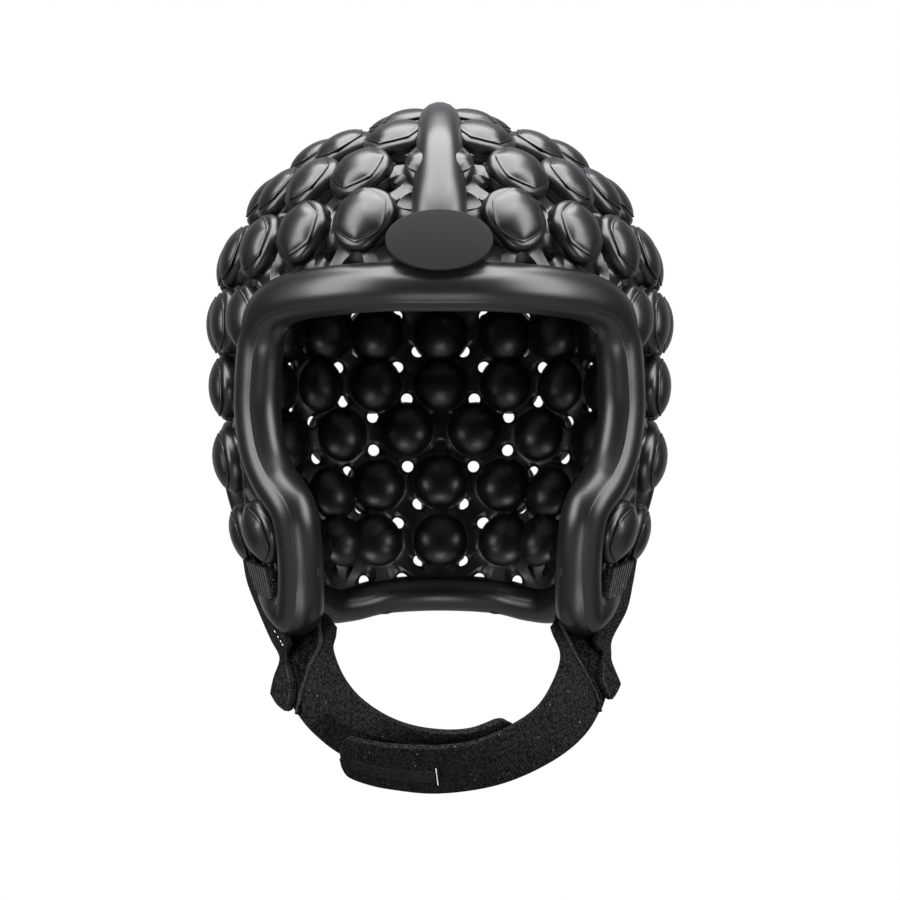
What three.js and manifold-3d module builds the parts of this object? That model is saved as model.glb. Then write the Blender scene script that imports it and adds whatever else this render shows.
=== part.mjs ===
// A soft foam head guard for contact sport, with its chin strap closed.
// Millimetres, +Z up, the face looks towards -Y and the wearer's left is +X.
// The origin is where the crown of the head sits inside the shell.
import * as THREE from "three";
import { mergeVertices } from "three/addons/utils/BufferGeometryUtils.js";
import Module from "manifold-3d";

// Form of the web that carries the pods
const DOME_LEVEL = -68;
const DOME_RISE = 75;
const BACK_FULLNESS = 0.25;
// 2 would make the front an ellipse in the side view, more makes it fuller
const FRONT_POWER = 3;
const WEB_THICKNESS = 3.6;
const WALL_STEP = 25;
// One row for each level, WALL_STEP apart, downwards from DOME_LEVEL
const WALL_SECTIONS = [
  { halfWidth: 83, front: 100, back: 101 },
  { halfWidth: 82.5, front: 97, back: 101 },
  { halfWidth: 81.5, front: 90, back: 99 },
  { halfWidth: 76, front: 81, back: 94 },
  { halfWidth: 67.5, front: 74, back: 88 },
  { halfWidth: 62, front: 69, back: 84 },
];

// Pods: a hex lens outside, a round dome inside
const POD_CAP_HEIGHT = 10.5;
const POD_RIM_HEIGHT = 7;
const POD_RIM_RADIUS = 12.2;
const POD_BASE_RADIUS = 11.4;
const POD_SHOULDER_SHARE = 0.76;
const POD_SHOULDER_DEPTH = 5;
const POD_DOME_DEPTH = 7.5;
// Rows of one side, from the crown down. front, side and back are heights of the web.
// Pods stand at equal lengths from the first to the last azimuth (0 front, 180 back).
// Blanks carry no pod: they hold the web under the rim, the crown or the ear ring.
// A vented row has holes between itself and the row below, whose web starts at webFrom.
// An openAhead row ends at the face opening.
const POD_ROWS = [
  { blanks: [{ azimuth: 90, level: 6.9 }], pods: [], front: 0, side: 0, back: 0 },
  { front: 4.5, side: 5.6, back: 1, pods: [{ first: 35, last: 142, count: 3 }] },
  { front: -1.6, side: -7, back: -6, pods: [{ first: 22.5, last: 160.3, count: 6 }] },
  {
    front: -13.5,
    side: -21.5,
    back: -25,
    pods: [
      { first: 0, last: 0, count: 1 },
      { first: 28.5, last: 160.6, count: 8 },
      { first: 180, last: 180, count: 1 },
    ],
    vented: true,
  },
  {
    front: -30.5,
    side: -44,
    back: -47,
    pods: [{ first: 21.5, last: 163, count: 9 }],
    vented: true,
  },
  {
    front: -64,
    side: -68,
    back: -69,
    pods: [
      { first: 60, last: 164, count: 8 },
      { first: 180, last: 180, count: 1 },
    ],
    blanks: [
      { azimuth: 0, level: -57 },
      { azimuth: 17, level: -57 },
      { azimuth: 34, level: -60 },
      { azimuth: 49, level: -67 },
    ],
    vented: true,
    webFrom: 49,
  },
  {
    front: -92,
    side: -93,
    back: -90,
    pods: [
      { first: 79, last: 163.5, count: 6 },
      { first: 180, last: 180, count: 1 },
    ],
    blanks: [{ azimuth: 59, level: -91 }],
    vented: true,
    openAhead: true,
  },
  {
    front: -122,
    side: -121.5,
    back: -109.5,
    pods: [
      { first: 79, last: 79, count: 1 },
      { first: 134, last: 171.6, count: 3 },
    ],
    blanks: [
      { azimuth: 56.5, level: -119 },
      { azimuth: 96, level: -120 },
      { azimuth: 109, level: -119 },
      { azimuth: 121, level: -117 },
    ],
    vented: true,
    openAhead: true,
  },
  {
    front: -140,
    side: -151,
    back: -132,
    pods: [
      { first: 63.5, last: 86, count: 2 },
      { first: 132, last: 163.5, count: 3 },
      { first: 180, last: 180, count: 1 },
    ],
    blanks: [
      { azimuth: 47, level: -146 },
      { azimuth: 101, level: -146 },
      { azimuth: 113, level: -144 },
      { azimuth: 122, level: -143 },
    ],
    vented: true,
    openAhead: true,
  },
  {
    front: -158,
    side: -158,
    back: -157,
    pods: [
      { first: 135, last: 161, count: 3 },
      { first: 180, last: 180, count: 1 },
    ],
    blanks: [
      { azimuth: 50, level: -164 },
      { azimuth: 58, level: -178 },
      { azimuth: 72, level: -175 },
      { azimuth: 85, level: -170 },
      { azimuth: 100, level: -168 },
      { azimuth: 118, level: -171 },
    ],
    openAhead: true,
    webFrom: 118,
  },
  {
    front: -180,
    side: -180,
    back: -178,
    pods: [],
    blanks: [
      { azimuth: 126, level: -174 },
      { azimuth: 144, level: -180 },
      { azimuth: 162, level: -181 },
      { azimuth: 180, level: -178 },
    ],
    openAhead: true,
  },
];
const BLANK_RADIUS = 5;
// Largest share of the way from a node to the middle of a vent that its base may take
const BASE_SHARE = 0.8;
// Vents nearer to the centre plane would lie under the crest
const CREST_CLEARANCE = 9;
// Nodes this near to the centre plane are repeated beyond it
const REPEATED_AHEAD = 50;
const REPEATED_BEHIND = 130;

// Rolled rim of one side, from the middle of the brow to the middle of the nape
const RIM_SIDES = 8;
const RIM_STEPS = 52;
const RIM_ROWS = [
  { azimuth: 0, level: -57, halfWidth: 9.4, halfDepth: 9, lift: 1.5 },
  { azimuth: 14, level: -57, halfWidth: 9.4, halfDepth: 9, lift: 1.5 },
  { azimuth: 28, level: -58, halfWidth: 9.4, halfDepth: 9, lift: 1.5 },
  { azimuth: 41, level: -60, halfWidth: 9.4, halfDepth: 9, lift: 1.5 },
  { azimuth: 50, level: -64.5, halfWidth: 9.4, halfDepth: 9, lift: 1 },
  { azimuth: 55.5, level: -74, halfWidth: 9.3, halfDepth: 9, lift: 0 },
  { azimuth: 58, level: -89, halfWidth: 9.3, halfDepth: 9, lift: 0 },
  { azimuth: 58.8, level: -103, halfWidth: 9.3, halfDepth: 9, lift: 0 },
  { azimuth: 57, level: -118, halfWidth: 9.3, halfDepth: 9, lift: 0 },
  { azimuth: 53.5, level: -129, halfWidth: 9.3, halfDepth: 9, lift: 0 },
  { azimuth: 47.5, level: -140, halfWidth: 9.3, halfDepth: 9, lift: 0 },
  { azimuth: 46.8, level: -152, halfWidth: 9.3, halfDepth: 9, lift: 0 },
  { azimuth: 49.5, level: -166, halfWidth: 9.5, halfDepth: 9.5, lift: 0 },
  { azimuth: 57, level: -179, halfWidth: 10, halfDepth: 10, lift: 0 },
  { azimuth: 70, level: -176.5, halfWidth: 8.5, halfDepth: 8.5, lift: 0 },
  { azimuth: 83, level: -171, halfWidth: 7, halfDepth: 7.5, lift: 0 },
  { azimuth: 100, level: -168, halfWidth: 7, halfDepth: 7.5, lift: 0 },
  { azimuth: 118, level: -171, halfWidth: 7, halfDepth: 7.5, lift: 0 },
  { azimuth: 138, level: -179, halfWidth: 7.5, halfDepth: 8, lift: 0 },
  { azimuth: 158, level: -181, halfWidth: 7.5, halfDepth: 8, lift: 0 },
  { azimuth: 180, level: -178, halfWidth: 7.5, halfDepth: 8, lift: 0 },
];

// Ring round the ear opening, an oval seen from the side
const EAR_CENTRE_Y = 26;
const EAR_CENTRE_Z = -131.5;
const EAR_HALF_LENGTH = 20.5;
const EAR_HALF_HEIGHT = 22.5;
const EAR_RING_HALF_WIDTH = 5;
const EAR_RING_HALF_DEPTH = 7;
const EAR_RING_LIFT = 0.5;
const EAR_STEPS = 14;
const EAR_SIDES = 6;

// Crest over the centre line, from the brow over the crown to the nape
const CREST_TOP = 12.5;
const CREST_UNDERSIDE = 3;
const CREST_SIDES = 8;
const CREST_STEPS = 16;
const CREST_ROWS = [
  { azimuth: 0, level: -51, halfWidth: 11 },
  { azimuth: 0, level: -38, halfWidth: 10.8 },
  { azimuth: 0, level: -22, halfWidth: 10 },
  { azimuth: 0, level: -5, halfWidth: 8.8 },
  { azimuth: 0, level: 4.5, halfWidth: 8 },
  { azimuth: 180, level: 4.5, halfWidth: 8.2 },
  { azimuth: 180, level: -5, halfWidth: 8.2 },
  { azimuth: 180, level: -28, halfWidth: 8.2 },
  { azimuth: 180, level: -68, halfWidth: 8.2 },
  { azimuth: 180, level: -110, halfWidth: 8.2 },
  { azimuth: 180, level: -150, halfWidth: 8.2 },
  { azimuth: 180, level: -177, halfWidth: 8.2 },
];

// Badge: an oval patch on a moulded pad at the foot of the crest
const BADGE_LEVEL = -42.3;
const BADGE_HALF_WIDTH = 20;
const BADGE_HALF_HEIGHT = 11.6;
const BADGE_THICKNESS = 1.3;
const BADGE_PAD_HEIGHT = 12.6;
const BADGE_PAD_MARGIN = 0.8;
const BADGE_SIDES = 20;

// Gap between pieces that touch
const GAP = 0.3;
// Points nearer than this are one point
const SAME_POINT = 1e-4;

// Straps: each row is one section, from its inner edge to its outer edge, as [x, y, z]
const CHIN_THICKNESS = 2.6;
const SIDE_THICKNESS = 1.8;
const ELASTIC_THICKNESS = 1.4;
const ELASTIC_GAP = 0.6;
const PILE_THICKNESS = 1.2;
const PILE_GAP = 0.5;
const TAB_THICKNESS = 1;
const CHIN_LEFT_ROWS = [
  { inner: [41, -32, -178], outer: [54, -12, -178] },
  { inner: [44, -36.5, -187], outer: [62, -19.5, -187.5] },
  { inner: [47.5, -42, -197], outer: [65, -27, -202] },
  { inner: [45, -50, -206], outer: [63, -33, -216] },
  { inner: [38.5, -59, -216], outer: [56, -42, -228] },
  { inner: [28, -68, -223], outer: [43, -52, -237.5] },
  { inner: [14, -76, -228.6], outer: [23, -60, -245.5] },
  { inner: [0, -79, -230.5], outer: [0, -64, -248.6] },
  { inner: [-17, -79, -230.3], outer: [-19, -63.5, -247] },
  { inner: [-29, -76.5, -228.5], outer: [-30, -62, -244.5] },
  { inner: [-38, -73, -229], outer: [-38, -61, -240] },
];
const CHIN_RIGHT_ROWS = [
  { inner: [-39, -32, -178], outer: [-54, -12, -178] },
  { inner: [-39.6, -37, -187.5], outer: [-61, -19.5, -187.5] },
  { inner: [-41.8, -42, -195.5], outer: [-60.5, -27, -200] },
  { inner: [-37.5, -51, -205.5], outer: [-57, -34, -216] },
  { inner: [-29.6, -61, -214], outer: [-49, -43, -227] },
  { inner: [-17, -71, -221], outer: [-34, -54, -236.5] },
  { inner: [-3, -76.5, -224.5], outer: [-12, -58, -240.5] },
  { inner: [12, -73.5, -224.5], outer: [8, -57, -240] },
  { inner: [27, -66.5, -220], outer: [29, -55, -231] },
];

// Upper end of the side strap, on the outside of the lower rim of the left half
const SIDE_TOP_ROWS = [
  { inner: [72.3, -30.5, -164], outer: [78.8, -8, -161.5] },
  { inner: [71.8, -31, -173], outer: [77.6, -8, -170] },
  { inner: [68.8, -35, -182], outer: [74.3, -14, -180.5] },
];
// Lower end, lying on the chin strap: places along it, and the shares of its width at both edges.
// It is narrow where it meets the pile, and its tail spreads below.
const SIDE_SLACK = 0.7;
const SIDE_LOWER_LEFT = [
  { along: 0.19, inner: 0.79, outer: 1.05 },
  { along: 0.228, inner: 0.74, outer: 1.14 },
  { along: 0.257, inner: 0.76, outer: 1.2 },
  { along: 0.282, inner: 0.86, outer: 1.14 },
  { along: 0.298, inner: 0.93, outer: 1.1 },
];
const SIDE_LOWER_RIGHT = [
  { along: 0.25, inner: 0.79, outer: 1.03 },
  { along: 0.3, inner: 0.79, outer: 1.15 },
  { along: 0.342, inner: 0.78, outer: 1.22 },
  { along: 0.38, inner: 0.86, outer: 1.2 },
  { along: 0.408, inner: 0.93, outer: 1.14 },
];
// Bands along a strap: its first and last step, and the shares of the strap's width
const CHIN_STEPS = 24;
const WHOLE_CHIN = { first: 0, last: CHIN_STEPS, inner: 0, outer: 1 };
const LOOP_PATCH = { first: 3, last: 9, inner: 0.38, outer: 0.96 };
const HOOK_PATCH = { first: 12, last: 18, inner: 0.38, outer: 0.93 };
const PULL_TAB = { first: 17, last: 23, inner: 0.46, outer: 0.7 };
const SIDE_STEPS = 14;
const WHOLE_SIDE = { first: 0, last: SIDE_STEPS, inner: 0, outer: 1 };
const ELASTIC = { first: 0, last: 4, inner: 0.06, outer: 0.94 };

const wasm = await Module();
wasm.setup();

const radians = THREE.MathUtils.degToRad;

// Half width and reach of the web at a level
const wallCurve = new THREE.CatmullRomCurve3(
  WALL_SECTIONS.map((row) => new THREE.Vector3(row.halfWidth, row.front, row.back)),
);

function ringAt(level) {
  if (level < DOME_LEVEL) {
    const steps = (DOME_LEVEL - level) / WALL_STEP;
    const size = wallCurve.getPoint(steps / (WALL_SECTIONS.length - 1));
    return { halfWidth: size.x, front: size.y, back: size.z };
  }
  const rise = Math.min((level - DOME_LEVEL) / DOME_RISE, 1);
  const share = Math.sqrt(1 - rise * rise);
  const widest = WALL_SECTIONS[0];
  return {
    halfWidth: widest.halfWidth * share,
    front: widest.front * (1 - rise ** FRONT_POWER) ** (1 / FRONT_POWER),
    back: widest.back * share,
  };
}

// Point on the middle of the web
function formPoint(azimuth, level) {
  const ring = ringAt(level);
  const ahead = Math.cos(radians(azimuth));
  const aside = Math.sin(radians(azimuth));
  const fullness = ahead < 0 ? 1 + BACK_FULLNESS * ahead * ahead : 1;
  const reach = ahead < 0 ? ring.back : ring.front;
  return new THREE.Vector3(ring.halfWidth * aside * fullness, -reach * ahead, level);
}

// Frame on the web: x along the row, y up the wall, z outwards
function formFrame(azimuth, level) {
  const turn = 0.5;
  const rise = 0.2;
  const along = formPoint(azimuth + turn, level).sub(formPoint(azimuth - turn, level)).normalize();
  const up = formPoint(azimuth, level + rise).sub(formPoint(azimuth, level - rise));
  const out = along.clone().cross(up).normalize();
  const tall = out.clone().cross(along);
  return new THREE.Matrix4().makeBasis(along, tall, out).setPosition(formPoint(azimuth, level));
}

function outwards(azimuth, level) {
  return new THREE.Vector3().setFromMatrixColumn(formFrame(azimuth, level), 2);
}

// Closed solid through rings of equally many points: capped at both ends, or joined end to start
function loft(rings, joined) {
  const sides = rings[0].length;
  const points = rings.flat();
  const faces = [];
  const spans = joined ? rings.length : rings.length - 1;
  for (let i = 0; i < spans; i++) {
    const near = i * sides;
    const far = ((i + 1) % rings.length) * sides;
    for (let j = 0; j < sides; j++) {
      const next = (j + 1) % sides;
      faces.push(near + j, near + next, far + next);
      faces.push(near + j, far + next, far + j);
    }
  }
  if (!joined) {
    const end = (rings.length - 1) * sides;
    for (let j = 1; j < sides - 1; j++) {
      faces.push(0, j + 1, j);
      faces.push(end, end + j, end + j + 1);
    }
  }
  const geometry = new THREE.BufferGeometry().setFromPoints(points);
  geometry.setIndex(faces);
  return geometry;
}

function toSolid(geometry) {
  const bare = new THREE.BufferGeometry();
  bare.setAttribute("position", geometry.getAttribute("position").clone());
  bare.setIndex(geometry.getIndex());
  const merged = mergeVertices(bare, SAME_POINT);
  const solid = new wasm.Manifold(
    new wasm.Mesh({
      numProp: 3,
      vertProperties: merged.getAttribute("position").array,
      triVerts: new Uint32Array(merged.getIndex().array),
    }),
  );
  return solid;
}

function toGeometry(solid) {
  const mesh = solid.getMesh();
  const geometry = new THREE.BufferGeometry();
  geometry.setAttribute("position", new THREE.BufferAttribute(mesh.vertProperties, 3));
  geometry.setIndex(new THREE.BufferAttribute(mesh.triVerts, 1));
  return geometry;
}

// Rim samples round the whole shell
function rimSamples() {
  const mirrored = RIM_ROWS.slice(1, -1)
    .reverse()
    .map((row) => ({ ...row, azimuth: 360 - row.azimuth }));
  const rows = [...RIM_ROWS, ...mirrored];
  const places = new THREE.CatmullRomCurve3(
    rows.map((row) => formPoint(row.azimuth, row.level)),
    true,
  );
  const sizes = new THREE.CatmullRomCurve3(
    rows.map((row) => new THREE.Vector3(row.halfWidth, row.halfDepth, row.lift)),
    true,
  );
  const outs = new THREE.CatmullRomCurve3(
    rows.map((row) => outwards(row.azimuth, row.level)),
    true,
  );
  return Array.from({ length: RIM_STEPS }, (unused, i) => {
    const place = i / RIM_STEPS;
    const size = sizes.getPoint(place);
    return {
      centre: places.getPoint(place),
      tangent: places.getTangent(place),
      out: outs.getPoint(place),
      halfWidth: size.x,
      halfDepth: size.y,
      lift: size.z,
    };
  });
}

// Oval ring of points square to a path
function ovalRing(sample, sides) {
  const across = sample.tangent.clone().cross(sample.out).normalize();
  const out = across.clone().cross(sample.tangent).normalize();
  const centre = sample.centre.clone().addScaledVector(out, sample.lift);
  return Array.from({ length: sides }, (unused, i) => {
    const angle = (-2 * Math.PI * (i + 0.5)) / sides;
    return centre
      .clone()
      .addScaledVector(across, sample.halfWidth * Math.cos(angle))
      .addScaledVector(out, sample.halfDepth * Math.sin(angle));
  });
}

// Prism along X through an outline in the side view
function sidePrism(outline) {
  const halfSpan = 200;
  const shape = new THREE.Shape(outline.map((point) => new THREE.Vector2(point.y, point.z)));
  const geometry = new THREE.ExtrudeGeometry(shape, { depth: 2 * halfSpan, bevelEnabled: false });
  const axes = new THREE.Matrix4().makeBasis(
    new THREE.Vector3(0, 1, 0),
    new THREE.Vector3(0, 0, 1),
    new THREE.Vector3(1, 0, 0),
  );
  geometry.applyMatrix4(axes.setPosition(-halfSpan, 0, 0));
  return geometry;
}

function rowLevel(row, azimuth) {
  const ahead = Math.cos(radians(azimuth));
  const end = ahead > 0 ? row.front : row.back;
  return row.side + (end - row.side) * ahead * ahead;
}

// Places at equal lengths along the wall, from the first to the last azimuth
function podPlaces(row, group) {
  if (group.count === 1) {
    return [{ azimuth: group.first, level: rowLevel(row, group.first), pod: true }];
  }
  const fine = 200;
  const walk = [];
  let length = 0;
  for (let i = 0; i <= fine; i++) {
    const azimuth = group.first + ((group.last - group.first) * i) / fine;
    const point = formPoint(azimuth, rowLevel(row, azimuth));
    if (i > 0) {
      length += point.distanceTo(walk[i - 1].point);
    }
    walk.push({ azimuth, point, length });
  }
  return Array.from({ length: group.count }, (unused, i) => {
    const wanted = (length * i) / (group.count - 1);
    const at = walk.find((step) => step.length >= wanted - SAME_POINT);
    return { azimuth: at.azimuth, level: rowLevel(row, at.azimuth), pod: true };
  });
}

// Nodes of one row in order round the shell, a little past the centre plane at its ends
function rowNodes(row) {
  const places = row.pods.flatMap((group) => podPlaces(row, group));
  for (const blank of row.blanks ?? []) {
    places.push({ ...blank, pod: false });
  }
  if (places.length > 1) {
    const behind = places.filter(({ azimuth }) => azimuth > REPEATED_BEHIND && azimuth < 180);
    const ahead = places.filter(({ azimuth }) => azimuth > 0 && azimuth < REPEATED_AHEAD);
    places.push(...behind.map((place) => ({ ...place, azimuth: 360 - place.azimuth })));
    if (!row.openAhead) {
      places.push(...ahead.map((place) => ({ ...place, azimuth: -place.azimuth })));
    }
  }
  places.sort((a, b) => a.azimuth - b.azimuth);
  return places.map((place) => ({
    ...place,
    frame: formFrame(place.azimuth, place.level),
    point: formPoint(place.azimuth, place.level),
    corners: [],
  }));
}

// Triangles between two rows of nodes, each turning to the left seen from outside
function stripTriangles(upper, lower, vented) {
  const triangles = [];
  let i = 0;
  let j = 0;
  while (i < upper.length - 1 || j < lower.length - 1) {
    const upperNext = i < upper.length - 1 ? upper[i + 1].azimuth : Infinity;
    const lowerNext = j < lower.length - 1 ? lower[j + 1].azimuth : Infinity;
    const third = upperNext < lowerNext ? upper[i + 1] : lower[j + 1];
    triangles.push({ nodes: [upper[i], lower[j], third], vented });
    if (upperNext < lowerNext) {
      i += 1;
    } else {
      j += 1;
    }
  }
  return triangles;
}

// Net of pods and webs as one closed skin
function netGeometry() {
  const rows = POD_ROWS.map(rowNodes);
  const nodes = rows.flat();
  const triangles = rows.slice(0, -1).flatMap((row, i) => {
    const from = POD_ROWS[i].webFrom ?? -Infinity;
    const upper = row.filter((node) => node.azimuth >= from);
    return stripTriangles(upper, rows[i + 1], POD_ROWS[i].vented === true);
  });

  const points = [];
  const faces = [];
  const add = (point) => points.push(point) - 1;
  const face = (...corners) => faces.push(...corners);

  // Each triangle gives each of its nodes one corner, above and below the web
  nodes.forEach((node, i) => {
    node.index = i;
  });
  const edgeKey = (a, b) => a.index * nodes.length + b.index;
  const owner = new Map();
  for (const triangle of triangles) {
    const [a, b, c] = triangle.nodes;
    const middle = a.point.clone().add(b.point).add(c.point).divideScalar(3);
    triangle.corners = triangle.nodes.map((node) => {
      const local = middle.clone().applyMatrix4(node.frame.clone().invert());
      const angle = Math.atan2(local.y, local.x);
      const wanted = node.pod ? POD_BASE_RADIUS : BLANK_RADIUS;
      const radius = Math.min(wanted, BASE_SHARE * Math.hypot(local.x, local.y));
      const at = (share, height) =>
        new THREE.Vector3(
          share * radius * Math.cos(angle),
          share * radius * Math.sin(angle),
          height,
        ).applyMatrix4(node.frame);
      const corner = {
        angle,
        triangle,
        top: add(at(1, WEB_THICKNESS / 2)),
        bottom: add(at(1, -WEB_THICKNESS / 2)),
        shoulder: at(POD_SHOULDER_SHARE, -POD_SHOULDER_DEPTH),
      };
      node.corners.push(corner);
      return corner;
    });
    for (const [from, to] of [[0, 1], [1, 2], [2, 0]]) {
      owner.set(edgeKey(triangle.nodes[from], triangle.nodes[to]), { triangle, from, to });
    }
    triangle.middle = middle;
  }

  for (const triangle of triangles) {
    const edges = [[0, 1], [1, 2], [2, 0]].map(([from, to]) => ({
      a: triangle.corners[from],
      b: triangle.corners[to],
      back: owner.get(edgeKey(triangle.nodes[to], triangle.nodes[from])),
    }));
    const inside = edges.every((edge) => edge.back);
    const pods = triangle.nodes.every((node) => node.pod);
    const [one, two, three] = triangle.corners;
    if (triangle.vented && inside && pods && triangle.middle.x > CREST_CLEARANCE) {
      for (const { a, b } of edges) {
        face(a.top, b.top, b.bottom, a.top, b.bottom, a.bottom);
      }
    } else {
      face(one.top, two.top, three.top, one.bottom, three.bottom, two.bottom);
    }
    for (const { a, b, back } of edges) {
      if (!back) {
        face(a.top, a.bottom, b.bottom, a.top, b.bottom, b.top);
      } else if (a.top < back.triangle.corners[back.to].top) {
        const c = back.triangle.corners[back.from];
        const d = back.triangle.corners[back.to];
        face(a.top, d.top, c.top, a.top, c.top, b.top);
        face(a.bottom, c.bottom, d.bottom, a.bottom, b.bottom, c.bottom);
      }
    }
  }

  for (const node of nodes) {
    const ring = orderedCorners(node, owner, edgeKey);
    const count = ring.length;
    if (ring.open && count > 1) {
      const last = ring[count - 1];
      const first = ring[0];
      face(last.top, last.bottom, first.bottom, last.top, first.bottom, first.top);
    }
    if (count < 3) {
      continue;
    }
    if (!node.pod) {
      for (let i = 1; i < count - 1; i++) {
        face(ring[0].top, ring[i].top, ring[i + 1].top);
        face(ring[0].bottom, ring[i + 1].bottom, ring[i].bottom);
      }
      continue;
    }
    const onNode = (x, y, z) => add(new THREE.Vector3(x, y, z).applyMatrix4(node.frame));
    const dome = onNode(0, 0, -POD_DOME_DEPTH);
    const cap = onNode(0, 0, POD_CAP_HEIGHT);
    const shoulders = ring.map((corner) => add(corner.shoulder));
    const rim = Array.from({ length: 6 }, (unused, i) => {
      const angle = Math.PI / 6 + (i * Math.PI) / 3;
      const x = POD_RIM_RADIUS * Math.cos(angle);
      const y = POD_RIM_RADIUS * Math.sin(angle);
      return { angle, top: onNode(x, y, POD_RIM_HEIGHT) };
    });
    ring.forEach((corner, i) => {
      const next = (i + 1) % count;
      face(corner.bottom, shoulders[i], shoulders[next]);
      face(corner.bottom, shoulders[next], ring[next].bottom);
      face(shoulders[i], dome, shoulders[next]);
    });
    rim.forEach((corner, i) => face(corner.top, rim[(i + 1) % rim.length].top, cap));
    for (const [a, b, c] of joinRings(ring, rim)) {
      face(a, b, c);
    }
  }
  const geometry = new THREE.BufferGeometry().setFromPoints(points);
  geometry.setIndex(faces);
  return geometry;
}

// Corners of a node in turning order, starting after its open side if it has one
function orderedCorners(node, owner, edgeKey) {
  const byTriangle = new Map(node.corners.map((corner) => [corner.triangle, corner]));
  const onwards = (triangle) => {
    const at = triangle.nodes.indexOf(node);
    return owner.get(edgeKey(node, triangle.nodes[(at + 2) % 3]))?.triangle;
  };
  const reached = new Set([...byTriangle.keys()].map(onwards));
  const start = [...byTriangle.keys()].find((triangle) => !reached.has(triangle));
  const ring = [];
  let triangle = start ?? node.corners[0]?.triangle;
  while (triangle && ring.length < node.corners.length) {
    ring.push(byTriangle.get(triangle));
    triangle = onwards(triangle);
  }
  ring.open = start !== undefined;
  return ring;
}

// Triangles between a lower and an upper ring round the same axis
function joinRings(lower, upper) {
  const turn = 2 * Math.PI;
  const from = lower[0].angle;
  const ahead = (angle) => (((angle - from) % turn) + turn) % turn;
  const above = [...upper].sort((a, b) => ahead(a.angle) - ahead(b.angle));
  const faces = [];
  let i = 0;
  let j = 0;
  while (i < lower.length || j < above.length) {
    const lowerNext = i + 1 < lower.length ? ahead(lower[i + 1].angle) : turn;
    const upperNext = j + 1 < above.length ? ahead(above[j + 1].angle) : turn + ahead(above[0].angle);
    const low = lower[i % lower.length].top;
    const high = above[j % above.length].top;
    if (j >= above.length || (i < lower.length && lowerNext <= upperNext)) {
      faces.push([low, lower[(i + 1) % lower.length].top, high]);
      i += 1;
    } else {
      faces.push([low, above[(j + 1) % above.length].top, high]);
      j += 1;
    }
  }
  return faces;
}

// Azimuth of a point of the web that is known from the side
function azimuthOf(y, level) {
  const ring = ringAt(level);
  const reach = y > 0 ? ring.back : ring.front;
  return THREE.MathUtils.radToDeg(Math.acos(-y / reach));
}

function earSamples() {
  const angles = Array.from({ length: EAR_STEPS }, (unused, i) => (2 * Math.PI * i) / EAR_STEPS);
  const places = angles.map((angle) => {
    const y = EAR_CENTRE_Y + EAR_HALF_LENGTH * Math.cos(angle);
    const level = EAR_CENTRE_Z + EAR_HALF_HEIGHT * Math.sin(angle);
    return { azimuth: azimuthOf(y, level), level };
  });
  const points = places.map((place) => formPoint(place.azimuth, place.level));
  return places.map((place, i) => {
    const before = points[(i + EAR_STEPS - 1) % EAR_STEPS];
    const after = points[(i + 1) % EAR_STEPS];
    return {
      centre: points[i],
      tangent: after.clone().sub(before).normalize(),
      out: outwards(place.azimuth, place.level),
      halfWidth: EAR_RING_HALF_WIDTH,
      halfDepth: EAR_RING_HALF_DEPTH,
      lift: EAR_RING_LIFT,
    };
  });
}

function crestGeometry() {
  const path = new THREE.CatmullRomCurve3(
    CREST_ROWS.map((row) => formPoint(row.azimuth, row.level)),
  );
  const widths = new THREE.CatmullRomCurve3(
    CREST_ROWS.map((row) => new THREE.Vector3(row.halfWidth, 0, 0)),
  );
  const sideways = new THREE.Vector3(1, 0, 0);
  const rings = Array.from({ length: CREST_STEPS + 1 }, (unused, i) => {
    const tangent = path.getTangent(i / CREST_STEPS);
    const sample = {
      centre: path.getPoint(i / CREST_STEPS),
      tangent,
      out: sideways.clone().cross(tangent),
      halfWidth: widths.getPoint(i / CREST_STEPS).x,
      halfDepth: (CREST_TOP + CREST_UNDERSIDE) / 2,
      lift: (CREST_TOP - CREST_UNDERSIDE) / 2,
    };
    return ovalRing(sample, CREST_SIDES);
  });
  return loft(rings, false);
}

// Oval disc on the foot of the crest, between two heights above the web
function badgeDisc(halfWidth, halfHeight, bottom, top) {
  const geometry = new THREE.CylinderGeometry(1, 1, top - bottom, BADGE_SIDES);
  geometry.rotateX(Math.PI / 2);
  geometry.scale(halfWidth, halfHeight, 1);
  geometry.translate(0, 0, (top + bottom) / 2);
  return geometry.applyMatrix4(formFrame(0, BADGE_LEVEL));
}

// One half of the shell, on the side of +X
function shellHalf() {
  const ear = earSamples();
  let half = toSolid(netGeometry());
  half = half.subtract(toSolid(sidePrism(ear.map((sample) => sample.centre))));
  const added = [
    loft(rimSamples().map((sample) => ovalRing(sample, RIM_SIDES)), true),
    loft(ear.map((sample) => ovalRing(sample, EAR_SIDES)), true),
    crestGeometry(),
    badgeDisc(
      BADGE_HALF_WIDTH - BADGE_PAD_MARGIN,
      BADGE_HALF_HEIGHT - BADGE_PAD_MARGIN,
      0,
      BADGE_PAD_HEIGHT,
    ),
  ];
  for (const geometry of added) {
    half = half.add(toSolid(geometry));
  }
  const room = 400;
  const side = new THREE.BoxGeometry(room, room, 2 * room).translate(room / 2 + GAP / 2, 0, 0);
  // The outer skin alone, so that pockets shut in between the rolls and the pods are solid foam
  const skins = half.intersect(toSolid(side)).decompose();
  skins.sort((a, b) => b.volume() - a.volume());
  return toGeometry(skins[0]);
}

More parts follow.
